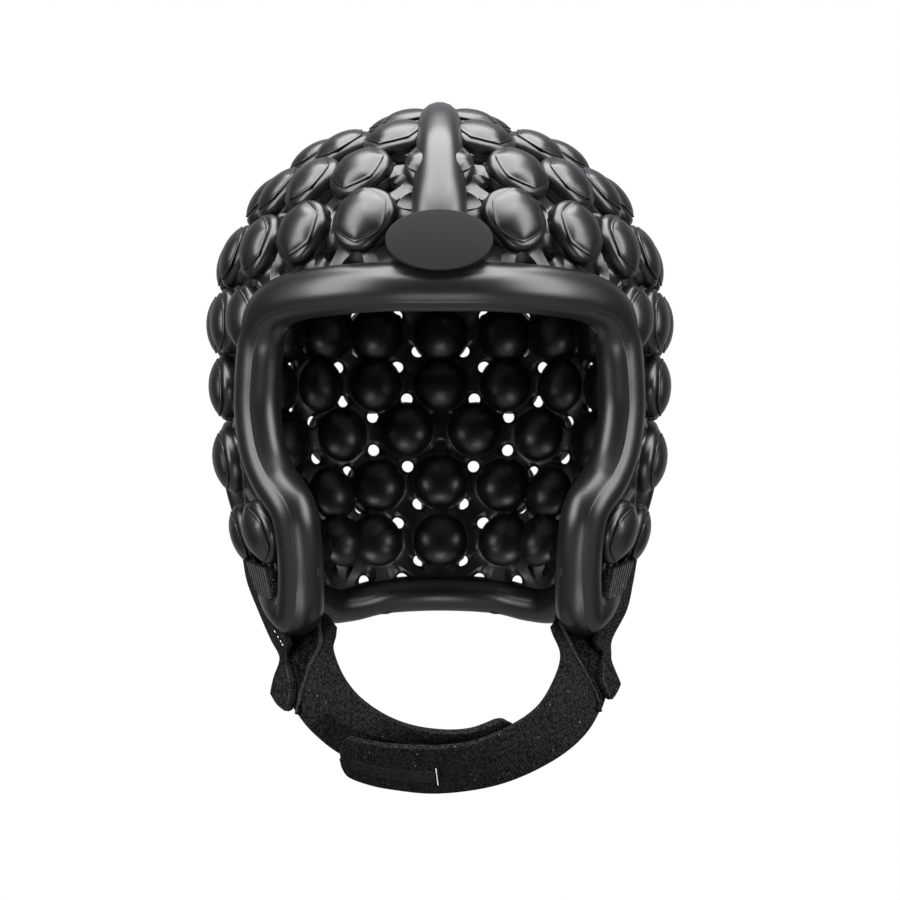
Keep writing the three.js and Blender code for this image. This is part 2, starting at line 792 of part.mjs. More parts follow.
// A strap's surface: at() gives the place at shares of its length and width, lifted outwards.
// facing is 1 where the rows turn their outside to the way across times the way along, else -1.
function strapSurface(rows, steps, facing) {
  const inner = new THREE.CatmullRomCurve3(rows.map((row) => new THREE.Vector3(...row.inner)));
  const outer = new THREE.CatmullRomCurve3(rows.map((row) => new THREE.Vector3(...row.outer)));
  const at = (along, across, lift) => {
    const a = inner.getPoint(along);
    const b = outer.getPoint(along);
    const onwards = inner.getTangent(along).add(outer.getTangent(along));
    const out = b.clone().sub(a).cross(onwards).normalize().multiplyScalar(facing);
    return a.lerp(b, across).addScaledVector(out, lift);
  };
  return { at, steps, facing };
}

// Flat band on a strap's surface, with its underside at a height above the surface
function strapBand(surface, extent, underside, thickness) {
  const rings = Array.from({ length: extent.last - extent.first + 1 }, (unused, i) => {
    const along = (extent.first + i) / surface.steps;
    const ring = [
      surface.at(along, extent.inner, underside + thickness),
      surface.at(along, extent.outer, underside + thickness),
      surface.at(along, extent.outer, underside),
      surface.at(along, extent.inner, underside),
    ];
    return surface.facing > 0 ? ring : ring.reverse();
  });
  return loft(rings, false);
}

// Rows of a side strap: down the outside of the rim, then along the chin strap
function sideStrapRows(chin, lowerRows, mirror) {
  const lift = CHIN_THICKNESS / 2 + PILE_GAP + PILE_THICKNESS + SIDE_SLACK + SIDE_THICKNESS / 2;
  const top = SIDE_TOP_ROWS.map((row) => ({
    inner: [mirror * row.inner[0], row.inner[1], row.inner[2]],
    outer: [mirror * row.outer[0], row.outer[1], row.outer[2]],
  }));
  const lower = lowerRows.map((row) => ({
    inner: chin.at(row.along, row.inner, lift).toArray(),
    outer: chin.at(row.along, row.outer, lift).toArray(),
  }));
  return [...top, ...lower];
}

const FINISHES = {
  foam: { color: 0x141516, roughness: 0.42 },
  badge: { color: 0x2b2c30, roughness: 0.7 },
  cloth: { color: 0x1f1f21, roughness: 0.88 },
  pile: { color: 0x161617, roughness: 1 },
  webbing: { color: 0x29292b, roughness: 0.8 },
};

const headGuard = new THREE.Group();

function addPiece(name, geometry, finish) {
  const mesh = new THREE.Mesh(geometry, new THREE.MeshStandardMaterial(finish));
  mesh.name = name;
  headGuard.add(mesh);
  return mesh;
}

const shell = shellHalf();
addPiece("shell_left", shell, FINISHES.foam);
const shellRight = addPiece("shell_right", shell, FINISHES.foam);
shellRight.scale.x = -1;

const badgeBottom = BADGE_PAD_HEIGHT + GAP;
const badgeTop = badgeBottom + BADGE_THICKNESS;
const badge = badgeDisc(BADGE_HALF_WIDTH, BADGE_HALF_HEIGHT, badgeBottom, badgeTop);
addPiece("brow_badge", badge, FINISHES.badge);

const chinHeight = CHIN_THICKNESS / 2;
const sideHeight = SIDE_THICKNESS / 2;
const onChin = chinHeight + PILE_GAP;
const onSide = sideHeight + ELASTIC_GAP;
const chinLeft = strapSurface(CHIN_LEFT_ROWS, CHIN_STEPS, -1);
const chinRight = strapSurface(CHIN_RIGHT_ROWS, CHIN_STEPS, 1);
const sides = [
  { name: "left", chin: chinLeft, lowerRows: SIDE_LOWER_LEFT, mirror: 1 },
  { name: "right", chin: chinRight, lowerRows: SIDE_LOWER_RIGHT, mirror: -1 },
];
for (const { name, chin, lowerRows, mirror } of sides) {
  const side = strapSurface(sideStrapRows(chin, lowerRows, mirror), SIDE_STEPS, chin.facing);
  addPiece(`elastic_${name}`, strapBand(side, ELASTIC, onSide, ELASTIC_THICKNESS), FINISHES.webbing);
  addPiece(`side_strap_${name}`, strapBand(side, WHOLE_SIDE, -sideHeight, SIDE_THICKNESS), FINISHES.cloth);
  addPiece(`loop_patch_${name}`, strapBand(chin, LOOP_PATCH, onChin, PILE_THICKNESS), FINISHES.pile);
  addPiece(`chin_strap_${name}`, strapBand(chin, WHOLE_CHIN, -chinHeight, CHIN_THICKNESS), FINISHES.cloth);
}
addPiece("hook_patch", strapBand(chinRight, HOOK_PATCH, onChin, TAB_THICKNESS), FINISHES.pile);
addPiece("pull_tab", strapBand(chinLeft, PULL_TAB, onChin, TAB_THICKNESS), FINISHES.webbing);

export default headGuard;
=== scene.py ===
# A soft foam head guard for contact sport, with its chin strap closed.
# Sizes are in millimetres, and each finished mesh is brought to metres.
import math

import bmesh
import bpy
from mathutils import Matrix, Vector


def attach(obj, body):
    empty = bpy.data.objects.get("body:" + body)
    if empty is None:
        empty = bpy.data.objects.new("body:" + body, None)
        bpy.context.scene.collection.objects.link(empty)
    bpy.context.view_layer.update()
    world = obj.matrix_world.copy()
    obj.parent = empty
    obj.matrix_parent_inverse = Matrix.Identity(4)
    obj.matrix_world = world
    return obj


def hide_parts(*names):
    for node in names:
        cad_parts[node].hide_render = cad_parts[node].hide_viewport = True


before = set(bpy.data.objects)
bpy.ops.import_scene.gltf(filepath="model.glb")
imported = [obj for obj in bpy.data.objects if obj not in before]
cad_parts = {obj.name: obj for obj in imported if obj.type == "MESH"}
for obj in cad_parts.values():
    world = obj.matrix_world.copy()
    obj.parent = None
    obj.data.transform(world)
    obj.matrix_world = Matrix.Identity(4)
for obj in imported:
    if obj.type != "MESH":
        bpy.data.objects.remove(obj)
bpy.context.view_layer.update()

# Camera
# A long lens 1.5 m in front of the guard, level with its middle and looking straight back.
camera_data = bpy.data.cameras.new("camera")
camera_data.lens = 150
camera_data.sensor_width = 36
camera_data.clip_end = 20
camera = bpy.data.objects.new("camera", camera_data)
camera.location = (0.004, -1.5, -0.118)
camera.rotation_euler = (math.radians(90), 0, 0)
bpy.context.collection.objects.link(camera)
bpy.context.scene.camera = camera

# Studio
# A pale floor well below the guard, which is held up as a head holds it, a white backdrop behind,
# large soft boxes above and at both sides, and a small one low in front.
FLOOR_LEVEL = -1.1
FLOOR_RADIUS = 1.6
LIT_POINT = (0, 0, -0.11)
SOFT_BOXES = (
    {"name": "top", "place": (0.0, -0.25, 0.9), "size": (1.2, 1.6), "power": 64},
    {"name": "left", "place": (-1.35, -0.8, 0.5), "size": (0.9, 2.4), "power": 64},
    {"name": "right", "place": (1.35, -0.8, 0.5), "size": (0.9, 2.4), "power": 64},
    {"name": "low_front", "place": (0.0, -0.9, -0.95), "size": (0.5, 0.4), "power": 3.6},
)

world = bpy.data.worlds.new("studio")
world.use_nodes = True
bpy.context.scene.world = world
world_nodes = world.node_tree.nodes
world_links = world.node_tree.links
seen_white = world_nodes.new("ShaderNodeBackground")
seen_white.inputs["Color"].default_value = (1, 1, 1, 1)
seen_white.inputs["Strength"].default_value = 1.0
room_light = world_nodes["Background"]
room_light.inputs["Color"].default_value = (0.9, 0.95, 1.0, 1)
backdrop_way = world_nodes.new("ShaderNodeTexCoord")
backdrop_axes = world_nodes.new("ShaderNodeSeparateXYZ")
world_links.new(backdrop_way.outputs["Generated"], backdrop_axes.inputs["Vector"])
backdrop = world_nodes.new("ShaderNodeMapRange")
backdrop.inputs["From Min"].default_value = 0.5
backdrop.inputs["From Max"].default_value = 0.9
backdrop.inputs["To Min"].default_value = 0.04
backdrop.inputs["To Max"].default_value = 0.5
world_links.new(backdrop_axes.outputs["Y"], backdrop.inputs["Value"])
world_links.new(backdrop.outputs["Result"], room_light.inputs["Strength"])
which_ray = world_nodes.new("ShaderNodeLightPath")
choose = world_nodes.new("ShaderNodeMixShader")
world_links.new(which_ray.outputs["Is Camera Ray"], choose.inputs["Fac"])
world_links.new(room_light.outputs["Background"], choose.inputs[1])
world_links.new(seen_white.outputs["Background"], choose.inputs[2])
world_links.new(choose.outputs["Shader"], world_nodes["World Output"].inputs["Surface"])

for soft_box in SOFT_BOXES:
    light = bpy.data.lights.new(soft_box["name"] + "_soft_box", "AREA")
    light.shape = "RECTANGLE"
    light.size, light.size_y = soft_box["size"]
    light.energy = soft_box["power"]
    lamp = bpy.data.objects.new(light.name, light)
    lamp.location = soft_box["place"]
    aim = Vector(LIT_POINT) - lamp.location
    lamp.rotation_euler = aim.to_track_quat("-Z", "Y").to_euler()
    bpy.context.collection.objects.link(lamp)

floor_mesh = bmesh.new()
bmesh.ops.create_circle(floor_mesh, cap_ends=True, segments=64, radius=FLOOR_RADIUS)
bmesh.ops.translate(floor_mesh, verts=floor_mesh.verts, vec=(0, 0, FLOOR_LEVEL))
floor_data = bpy.data.meshes.new("floor")
floor_mesh.to_mesh(floor_data)
floor_mesh.free()
floor = bpy.data.objects.new("floor", floor_data)
bpy.context.collection.objects.link(floor)
pale = bpy.data.materials.new("pale_floor")
pale.use_nodes = True
pale.node_tree.nodes["Principled BSDF"].inputs["Base Color"].default_value = (0.19, 0.19, 0.19, 1)
pale.node_tree.nodes["Principled BSDF"].inputs["Roughness"].default_value = 0.8
floor_data.materials.append(pale)

bpy.context.scene.view_settings.view_transform = "Standard"

# Foam halves
# Two soft mouldings that meet on the centre plane. Each is a net of solid pods with hex
# lens caps outside and round domes inside, short bars with vents between them, a thick rolled
# rim, a ring round the ear and half of the crest.
MM = 0.001
DOME_LEVEL = -68
DOME_RISE = 75
BACK_FULLNESS = 0.25
FRONT_POWER = 3
WALL_STEP = 25
# Half width, reach to the front and reach to the back, downwards from DOME_LEVEL
WALL_SECTIONS = (
    (83, 100, 101),
    (82.5, 97, 101),
    (81.5, 90, 99),
    (76, 81, 94),
    (67.5, 74, 88),
    (62, 69, 84),
)


def smooth_row(rows, share):
    """Values between rows of numbers, on a smooth curve through them all."""
    place = min(max(share, 0), 1) * (len(rows) - 1)
    i = min(int(place), len(rows) - 2)
    t = place - i
    start, end = rows[i], rows[i + 1]
    before = rows[i - 1] if i > 0 else [2 * a - b for a, b in zip(start, end)]
    after = rows[i + 2] if i + 2 < len(rows) else [2 * b - a for a, b in zip(start, end)]
    return [
        b + 0.5 * t * (c - a + t * (2 * a - 5 * b + 4 * c - d + t * (3 * (b - c) + d - a)))
        for a, b, c, d in zip(before, start, end, after)
    ]


def web_point(azimuth, level):
    """Place on the middle of the web: azimuth 0 is the front, 90 the left side, 180 the back."""
    if level < DOME_LEVEL:
        size = smooth_row(WALL_SECTIONS, (DOME_LEVEL - level) / WALL_STEP / (len(WALL_SECTIONS) - 1))
    else:
        rise = min((level - DOME_LEVEL) / DOME_RISE, 1)
        half_width, front, back = WALL_SECTIONS[0]
        narrowing = math.sqrt(1 - rise * rise)
        fuller = (1 - rise**FRONT_POWER) ** (1 / FRONT_POWER)
        size = (half_width * narrowing, front * fuller, back * narrowing)
    half_width, front, back = size
    ahead = math.cos(math.radians(azimuth))
    aside = math.sin(math.radians(azimuth))
    fullness = 1 + BACK_FULLNESS * ahead * ahead if ahead < 0 else 1
    reach = back if ahead < 0 else front
    return Vector((half_width * aside * fullness, -reach * ahead, level))


def web_frame(azimuth, level):
    """Frame on the web: x along the row, y up the wall, z outwards."""
    turn, rise = 0.5, 0.2
    along = (web_point(azimuth + turn, level) - web_point(azimuth - turn, level)).normalized()
    up = web_point(azimuth, level + rise) - web_point(azimuth, level - rise)
    out = along.cross(up).normalized()
    axes = Matrix((along, out.cross(along), out)).transposed().to_4x4()
    axes.translation = web_point(azimuth, level)
    return axes


# Rows of one side from the crown down. Pods stand at equal lengths from the first to the last
# azimuth, blanks are (azimuth, level) and hold the web under the rim, the crown or the ear ring.
POD_ROWS = (
    {"levels": (0, 0, 0), "pods": (), "blanks": ((90, 6.9),)},
    {"levels": (4.5, 5.6, 1), "pods": ((35, 142, 3),)},
    {"levels": (-1.6, -7, -6), "pods": ((22.5, 160.3, 6),)},
    {"levels": (-13.5, -21.5, -25), "pods": ((0, 0, 1), (28.5, 160.6, 8), (180, 180, 1))},
    {"levels": (-30.5, -44, -47), "pods": ((21.5, 163, 9),)},
    {
        "levels": (-64, -68, -69),
        "pods": ((60, 164, 8), (180, 180, 1)),
        "blanks": ((0, -57), (17, -57), (34, -60), (49, -67)),
        "web_from": 49,
    },
    {
        "levels": (-92, -93, -90),
        "pods": ((79, 163.5, 6), (180, 180, 1)),
        "blanks": ((59, -91),),
        "open_ahead": True,
    },
    {
        "levels": (-122, -121.5, -109.5),
        "pods": ((79, 79, 1), (134, 171.6, 3)),
        "blanks": ((56.5, -119), (96, -120), (109, -119), (121, -117)),
        "open_ahead": True,
    },
    {
        "levels": (-140, -151, -132),
        "pods": ((63.5, 86, 2), (132, 163.5, 3), (180, 180, 1)),
        "blanks": ((47, -146), (101, -146), (113, -144), (122, -143)),
        "open_ahead": True,
    },
    {
        "levels": (-158, -158, -157),
        "pods": ((135, 161, 3), (180, 180, 1)),
        "blanks": ((50, -164), (58, -178), (72, -175), (85, -170), (100, -168), (118, -171)),
        "open_ahead": True,
        "web_from": 118,
    },
    {
        "levels": (-180, -180, -178),
        "pods": (),
        "blanks": ((126, -174), (144, -180), (162, -181), (180, -178)),
        "open_ahead": True,
    },
)
REPEATED_AHEAD = 50
REPEATED_BEHIND = 130


def row_level(row, azimuth):
    """Level of a row, which may rise or fall towards the front and the back."""
    front, side, back = row["levels"]
    ahead = math.cos(math.radians(azimuth))
    return side + ((front if ahead > 0 else back) - side) * ahead * ahead


def pod_azimuths(row, first, last, count):
    """Azimuths at equal lengths along the wall."""
    if count == 1:
        return [first]
    fine = 200
    steps = [first + (last - first) * i / fine for i in range(fine + 1)]
    points = [web_point(azimuth, row_level(row, azimuth)) for azimuth in steps]
    lengths = [0]
    for a, b in zip(points, points[1:]):
        lengths.append(lengths[-1] + (b - a).length)
    wanted = [lengths[-1] * i / (count - 1) for i in range(count)]
    return [next(a for a, l in zip(steps, lengths) if l >= w - 1e-4) for w in wanted]


def row_places(row):
    """Places of one row in order round the shell, repeated a little past the centre plane."""
    places = [
        (azimuth, row_level(row, azimuth), True)
        for group in row["pods"]
        for azimuth in pod_azimuths(row, *group)
    ]
    places += [(azimuth, level, False) for azimuth, level in row.get("blanks", ())]
    if len(places) > 1:
        beyond = [(360 - a, l, pod) for a, l, pod in places if REPEATED_BEHIND < a < 180]
        before = [(-a, l, pod) for a, l, pod in places if 0 < a < REPEATED_AHEAD]
        places += beyond + ([] if row.get("open_ahead") else before)
    return sorted(places)


def linked_rows(upper, lower):
    """Triangles of places between two rows, taken in turn by azimuth."""
    i = j = 0
    while i < len(upper) - 1 or j < len(lower) - 1:
        upper_next = upper[i + 1][0] if i < len(upper) - 1 else math.inf
        lower_next = lower[j + 1][0] if j < len(lower) - 1 else math.inf
        third = upper[i + 1] if upper_next < lower_next else lower[j + 1]
        yield upper[i], lower[j], third
        if upper_next < lower_next:
            i += 1
        else:
            j += 1


pod_rows = [row_places(row) for row in POD_ROWS]
neighbours = {place: set() for row in pod_rows for place in row}
for row, upper, lower in zip(POD_ROWS, pod_rows, pod_rows[1:]):
    upper = [place for place in upper if place[0] >= row.get("web_from", -math.inf)]
    for triangle in linked_rows(upper, lower):
        for place in triangle:
            neighbours[place].update(other for other in triangle if other != place)

# The net is modelled coarsely and then subdivided, which rounds the vents and fills the corners.
WEB_THICKNESS = 4.6
WEB_LIFT = -2.0
BASE_RADIUS = 12.6
BLANK_RADIUS = 8.0
BASE_SHARE = 0.47
BAR_HALF_WIDTH = 3.0
BAR_SHARE = 0.25
# Widest bar as a share of its pod's size
WIDEST_BAR = 0.8
VENT_RADIUS = 2.8
# Depth of the vent's edge below the web's face, outside and inside
VENT_SINKS = {1: 1.9, -1: 1.1}
VENT_MOST_SIDES = 9
WIDEST_FREE_SIDE = math.radians(75)
# Radius and height of the coarse rings of a pod, outside and inside
BODY_RINGS = ((13.6, 1.6), (13.6, 5.0), (11.0, 7.0))
DOME_RINGS = ((10.6, -5.0), (8.0, -6.6), (4.2, -7.4))
upper_ring = set()
lower_ring = set()


def extrude_face(mesh, face, move):
    """Extrude one face and move its points."""
    face = bmesh.ops.extrude_discrete_faces(mesh, faces=[face])["faces"][0]
    for vert in face.verts:
        vert.co = move(vert.co)
    return face


def ring_angle(vert):
    """Angle of a point round its pod's middle."""
    return math.atan2(vert.co.y, vert.co.x)


def add_pod(mesh, place):
    """One pod or blank of the coarse net. Gives its gates, the faces that look at its neighbours."""
    azimuth, level, is_pod = place
    axes = web_frame(azimuth, level)
    into = axes.inverted()
    ways = []
    for other in neighbours[place]:
        seen = into @ web_point(other[0], other[1])
        ways.append((math.atan2(seen.y, seen.x), math.hypot(seen.x, seen.y), other))
    ways.sort(key=lambda way: way[0])
    corners = []
    for i, (angle, distance, other) in enumerate(ways):
        to_next = (ways[(i + 1) % len(ways)][0] - angle) % math.tau
        to_last = (angle - ways[i - 1][0]) % math.tau
        radius = min(BASE_RADIUS if is_pod else BLANK_RADIUS, BASE_SHARE * distance)
        wanted = math.asin(min(BAR_HALF_WIDTH / radius, WIDEST_BAR))
        half = min(wanted, BAR_SHARE * min(to_next, to_last))
        corners += [(angle - half, radius, other, 0), (angle + half, radius, other, 1)]
        free = to_next - 2 * half
        if free > WIDEST_FREE_SIDE:
            sides = int(free / WIDEST_FREE_SIDE) + 2
            corners += [(angle + half + free * k / sides, radius, None, 0) for k in range(1, sides)]
    wrapped = [((a + math.pi) % math.tau - math.pi, r, other, edge) for a, r, other, edge in corners]
    wrapped.sort(key=lambda corner: corner[0])
    made = bmesh.ops.create_cone(
        mesh, cap_ends=True, segments=len(wrapped), radius1=1, radius2=1, depth=WEB_THICKNESS
    )["verts"]
    top = sorted((vert for vert in made if vert.co.z > 0), key=ring_angle)
    bottom = sorted((vert for vert in made if vert.co.z < 0), key=ring_angle)
    top_face = mesh.faces.get(top)
    bottom_face = mesh.faces.get(bottom)
    gates = {}
    for i, (angle, radius, other, edge) in enumerate(wrapped):
        after = (i + 1) % len(wrapped)
        if other and edge == 0 and wrapped[after][2] == other:
            gates[other] = mesh.faces.get((top[i], top[after], bottom[after], bottom[i]))
        for vert in (top[i], bottom[i]):
            vert.co.x = radius * math.cos(angle)
            vert.co.y = radius * math.sin(angle)
            vert.co.z += WEB_LIFT
    if is_pod:
        for rings, face in ((BODY_RINGS, top_face), (DOME_RINGS, bottom_face)):
            for radius, height in rings:
                face = extrude_face(
                    mesh, face, lambda co: Vector((*(co.xy.normalized() * radius), height))
                )
    upper_ring.update(top)
    lower_ring.update(bottom)
    fresh = [vert for vert in mesh.verts if not vert.tag]
    bmesh.ops.transform(mesh, matrix=axes, verts=fresh)
    for vert in fresh:
        vert.tag = True
    return gates


net = bmesh.new()
gates = {place: add_pod(net, place) for place in neighbours if neighbours[place]}
for place, others in gates.items():
    for other, gate in others.items():
        facing = gates[other].get(place)
        if place < other and gate and facing:
            rims = list(gate.edges) + list(facing.edges)
            bmesh.ops.delete(net, geom=[gate, facing], context="FACES_ONLY")
            bmesh.ops.bridge_loops(net, edges=rims)

# The wall round each gap between the bars is drawn in to a small round vent
upright = {
    edge
    for edge in net.edges
    if len(upper_ring.intersection(edge.verts)) == 1 and len(lower_ring.intersection(edge.verts)) == 1
}
walls = [face for face in net.faces if len(upright.intersection(face.edges)) == 2]
not_in_a_gap = set(walls)
gaps = []
for start in walls:
    if start in not_in_a_gap:
        not_in_a_gap.remove(start)
        gap = [start]
        for wall in gap:
            for edge in wall.edges:
                beside = [face for face in edge.link_faces if edge in upright and face in not_in_a_gap]
                not_in_a_gap.difference_update(beside)
                gap.extend(beside)
        gaps.append(gap)


def ring_middle(corners, ring):
    """Middle of those corners of a gap that are in a ring."""
    places = [vert.co for vert in corners if vert in ring]
    return sum(places, Vector()) / len(places)


for gap in gaps:
    if len(gap) > VENT_MOST_SIDES:
        continue
    corners = dict.fromkeys(vert for face in gap for vert in face.verts)
    high, low = ring_middle(corners, upper_ring), ring_middle(corners, lower_ring)
    through = (high - low).normalized()
    flat_axes = through.to_track_quat("Z", "Y").to_matrix()
    drawn = bmesh.ops.extrude_face_region(net, geom=gap)["geom"]
    drawn = [vert for vert in drawn if isinstance(vert, bmesh.types.BMVert)]
    centre = (high + low) / 2
    for end in (1, -1):
        ring = [vert for vert in drawn if (vert.co - centre).dot(through) * end > 0]
        seen = {vert: flat_axes.transposed() @ (vert.co - centre) for vert in ring}
        ring.sort(key=lambda vert: math.atan2(seen[vert].y, seen[vert].x))
        first = math.atan2(seen[ring[0]].y, seen[ring[0]].x)
        height = end * (WEB_THICKNESS / 2 - VENT_SINKS[end])
        for i, vert in enumerate(ring):
            turn = first + math.tau * i / len(ring)
            around = Vector((math.cos(turn), math.sin(turn), 0)) * VENT_RADIUS
            vert.co = centre + flat_axes @ around + through * height
bmesh.ops.recalc_face_normals(net, faces=net.faces)


def to_object(mesh, name):
    """A bmesh as an object, its own mesh freed."""
    data = bpy.data.meshes.new(name)
    mesh.to_mesh(data)
    mesh.free()
    made = bpy.data.objects.new(name, data)
    bpy.context.collection.objects.link(made)
    return made


def shaped_by_modifiers(made):
    """The mesh of an object after its modifiers, as a bmesh, with the object itself removed."""
    shaped = made.evaluated_get(bpy.context.evaluated_depsgraph_get())
    mesh = bmesh.new()
    mesh.from_mesh(shaped.to_mesh())
    shaped.to_mesh_clear()
    data = made.data
    bpy.data.objects.remove(made)
    bpy.data.meshes.remove(data)
    return mesh


def add_mesh(target, source, axes=Matrix()):
    """Add a copy of one mesh to another, in the given axes."""
    data = bpy.data.meshes.new("copy")
    source.to_mesh(data)
    data.transform(axes)
    target.from_mesh(data)
    bpy.data.meshes.remove(data)


coarse_net = to_object(net, "coarse_net")
rounding = coarse_net.modifiers.new("rounding", "SUBSURF")
rounding.levels = rounding.render_levels = 2
half = shaped_by_modifiers(coarse_net)

# Ear opening: an oval seen from the side, cut through the net
EAR_CENTRE = (26, -131.5)
EAR_HALF_SIZE = (20.5, 22.5)
EAR_CUT_MIDDLE = 80
EAR_CUT_DEPTH = 100
ear_cutter = bmesh.new()
bmesh.ops.create_cone(
    ear_cutter,
    cap_ends=True,
    segments=32,
    radius1=1,
    radius2=1,
    depth=EAR_CUT_DEPTH,
    matrix=Matrix.Translation((EAR_CUT_MIDDLE, *EAR_CENTRE))
    @ Matrix.Diagonal((1, *EAR_HALF_SIZE, 1))
    @ Matrix.Rotation(math.radians(90), 4, "Y"),
)
ear_hole = to_object(ear_cutter, "ear_hole")
net_object = to_object(half, "net")
ear_cut = net_object.modifiers.new("ear", "BOOLEAN")
ear_cut.operation = "DIFFERENCE"
ear_cut.object = ear_hole
half = shaped_by_modifiers(net_object)
bpy.data.objects.remove(ear_hole)

# Hex lens caps outside. Each ring is a share of the cap's size, a height and how far its outline is
# a hexagon, from inside the pod up.
CAP_RADIUS = 11.4
CAP_SIDES = 36
CAP_FOOT = (0.8, 4.5, 0.6)
# Size of a round outline beside that of a hexagon
ROUND_SHARE = 0.94
# Caps whose middle is further than this past the centre plane don't reach it
CAP_REACH = 14
CAP_RINGS = (
    (0.99, 6.1, 0.62),
    (1.02, 6.5, 0.66),
    (1.02, 6.8, 0.66),
    (0.97, 7.05, 0.66),
    (0.945, 7.15, 0.64),
    (0.92, 7.4, 0.6),
    (0.84, 8.1, 0.42),
    (0.72, 8.8, 0.25),
    (0.56, 9.5, 0.1),
    (0.38, 10.0, 0.03),
    (0.18, 10.3, 0.0),
    (0.05, 10.35, 0.0),
)
cap = bmesh.new()
bmesh.ops.create_circle(cap, cap_ends=True, segments=CAP_SIDES, radius=1)
bmesh.ops.rotate(cap, verts=cap.verts, matrix=Matrix.Rotation(math.radians(90), 3, "Z"))


def cap_point(co, share, height, hexness):
    """Place on a ring of the cap at the angle of a point."""
    angle = math.atan2(co.y, co.x)
    from_corner = (angle - math.pi / 2) % (math.pi / 3) - math.pi / 6
    hexagon = math.cos(math.pi / 6) / math.cos(from_corner)
    radius = share * CAP_RADIUS * (hexagon * hexness + (1 - hexness) * ROUND_SHARE)
    return Vector((radius * math.cos(angle), radius * math.sin(angle), height))


cap_face = cap.faces[:][0]
for vert in cap.verts:
    vert.co = cap_point(vert.co, *CAP_FOOT)
for share, height, hexness in CAP_RINGS:
    cap_face = extrude_face(cap, cap_face, lambda co: cap_point(co, share, height, hexness))
bmesh.ops.holes_fill(cap, edges=[edge for edge in cap.edges if edge.is_boundary])

# Round domes inside, which nearly touch each other
INNER_DOME = (12.2, 12.2, 9.0)
INNER_DOME_LEVEL = -1.5
bmesh.ops.create_uvsphere(
    cap,
    u_segments=28,
    v_segments=14,
    radius=1,
    matrix=Matrix.Translation((0, 0, INNER_DOME_LEVEL)) @ Matrix.Diagonal((*INNER_DOME, 1)),
)
bmesh.ops.recalc_face_normals(cap, faces=cap.faces)
for azimuth, level, is_pod in neighbours:
    if is_pod and web_point(azimuth, level).x > -CAP_REACH:
        add_mesh(half, cap, web_frame(azimuth, level))

# A small bump on the flank of the crest above the badge
CREST_BUMP = {"azimuth": 6, "level": -15, "lift": 4.2, "size": (0.5, 0.5, 0.6)}
bump_axes = (
    web_frame(CREST_BUMP["azimuth"], CREST_BUMP["level"])
    @ Matrix.Translation((0, 0, CREST_BUMP["lift"]))
    @ Matrix.Diagonal((*CREST_BUMP["size"], 1))
)
add_mesh(half, cap, bump_axes)
cap.free()

# Rolled rim from the middle of the brow to the middle of the nape:
# azimuth, level, half width, half depth and lift outwards
RIM_ROWS = (
    (0, -57, 9.4, 9, 1.5),
    (14, -57, 9.4, 9, 1.5),
    (28, -58, 9.4, 9, 1.5),
    (41, -60, 9.4, 9, 1.5),
    (50, -64.5, 9.4, 9, 1),
    (55.5, -74, 9.6, 9, 0),
    (58, -89, 9.7, 9, 0),
    (58.8, -103, 9.8, 9, 0),
    (57, -118, 9.7, 9, 0),
    (53.5, -129, 9.4, 9, 0),
    (47.7, -140, 9.1, 9, 0),
    (48.3, -152, 8.8, 9, 0),
    (52.3, -166, 8.7, 9, 0),
    (58.3, -180.5, 9.4, 9.4, 0),
    (67, -178, 9.2, 9.8, 0),
    (83, -171, 7, 7.5, 0),
    (100, -168, 7, 7.5, 0),
    (118, -172, 7, 7.5, 0),
    (138, -182, 7.5, 8, 0),
    (150, -182.5, 7.5, 8, 0),
    (163, -179.5, 7.5, 8, 0),
    (180, -178.5, 7.5, 8, 0),
)
RIM_STEPS = 150
# The mould's parting line stands a little proud along the roll
PARTING_ANGLE = 45
PARTING_WIDTH = 1.4
PARTING_HEIGHT = 0.14
ROLL_ANGLES = sorted(
    [(10 * i, 0) for i in range(36) if abs(10 * i - PARTING_ANGLE) > 4]
    + [
        (PARTING_ANGLE - PARTING_WIDTH, 0),
        (PARTING_ANGLE, PARTING_HEIGHT),
        (PARTING_ANGLE + PARTING_WIDTH, 0),
    ]
)


def add_roll(mesh, samples, angles, closed):
    """A soft roll along samples of (centre, tangent, outwards, half width, half depth, lift)."""
    roll = bmesh.new()
    rims = []
    for centre, tangent, out, half_width, half_depth, lift in samples:
        across = tangent.cross(out).normalized()
        out = across.cross(tangent).normalized()
        made = bmesh.ops.create_circle(roll, segments=len(angles), radius=1)["verts"]
        for vert, (angle, proud) in zip(made, angles):
            turn = math.radians(angle)
            vert.co = (
                centre
                + out * (lift + (half_depth + proud) * math.sin(turn))
                + across * ((half_width + proud) * math.cos(turn))
            )
        rims.append(list(dict.fromkeys(edge for vert in made for edge in vert.link_edges)))
    pairs = list(zip(rims, rims[1:])) + ([(rims[-1], rims[0])] if closed else [])
    for near, far in pairs:
        bmesh.ops.bridge_loops(roll, edges=near + far)
    if not closed:
        bmesh.ops.holes_fill(roll, edges=rims[0] + rims[-1])
    add_mesh(mesh, roll)
    roll.free()


def along_path(rows, steps, closed):
    """Samples on a smooth path through rows of (point, outwards, half width, half depth, lift)."""
    flat = [(*point, *out, *sizes) for point, out, *sizes in rows]
    places = [smooth_row(flat, i / steps) for i in range(steps + 1)]
    points = [Vector(place[:3]) for place in places]
    samples = []
    for i, place in enumerate(places[: steps if closed else steps + 1]):
        before = points[i - 1] if i > 0 else points[-2] if closed else points[0]
        after = points[i + 1] if i < steps else points[i]
        samples.append((points[i], (after - before).normalized(), Vector(place[3:6]), *place[6:]))
    return samples


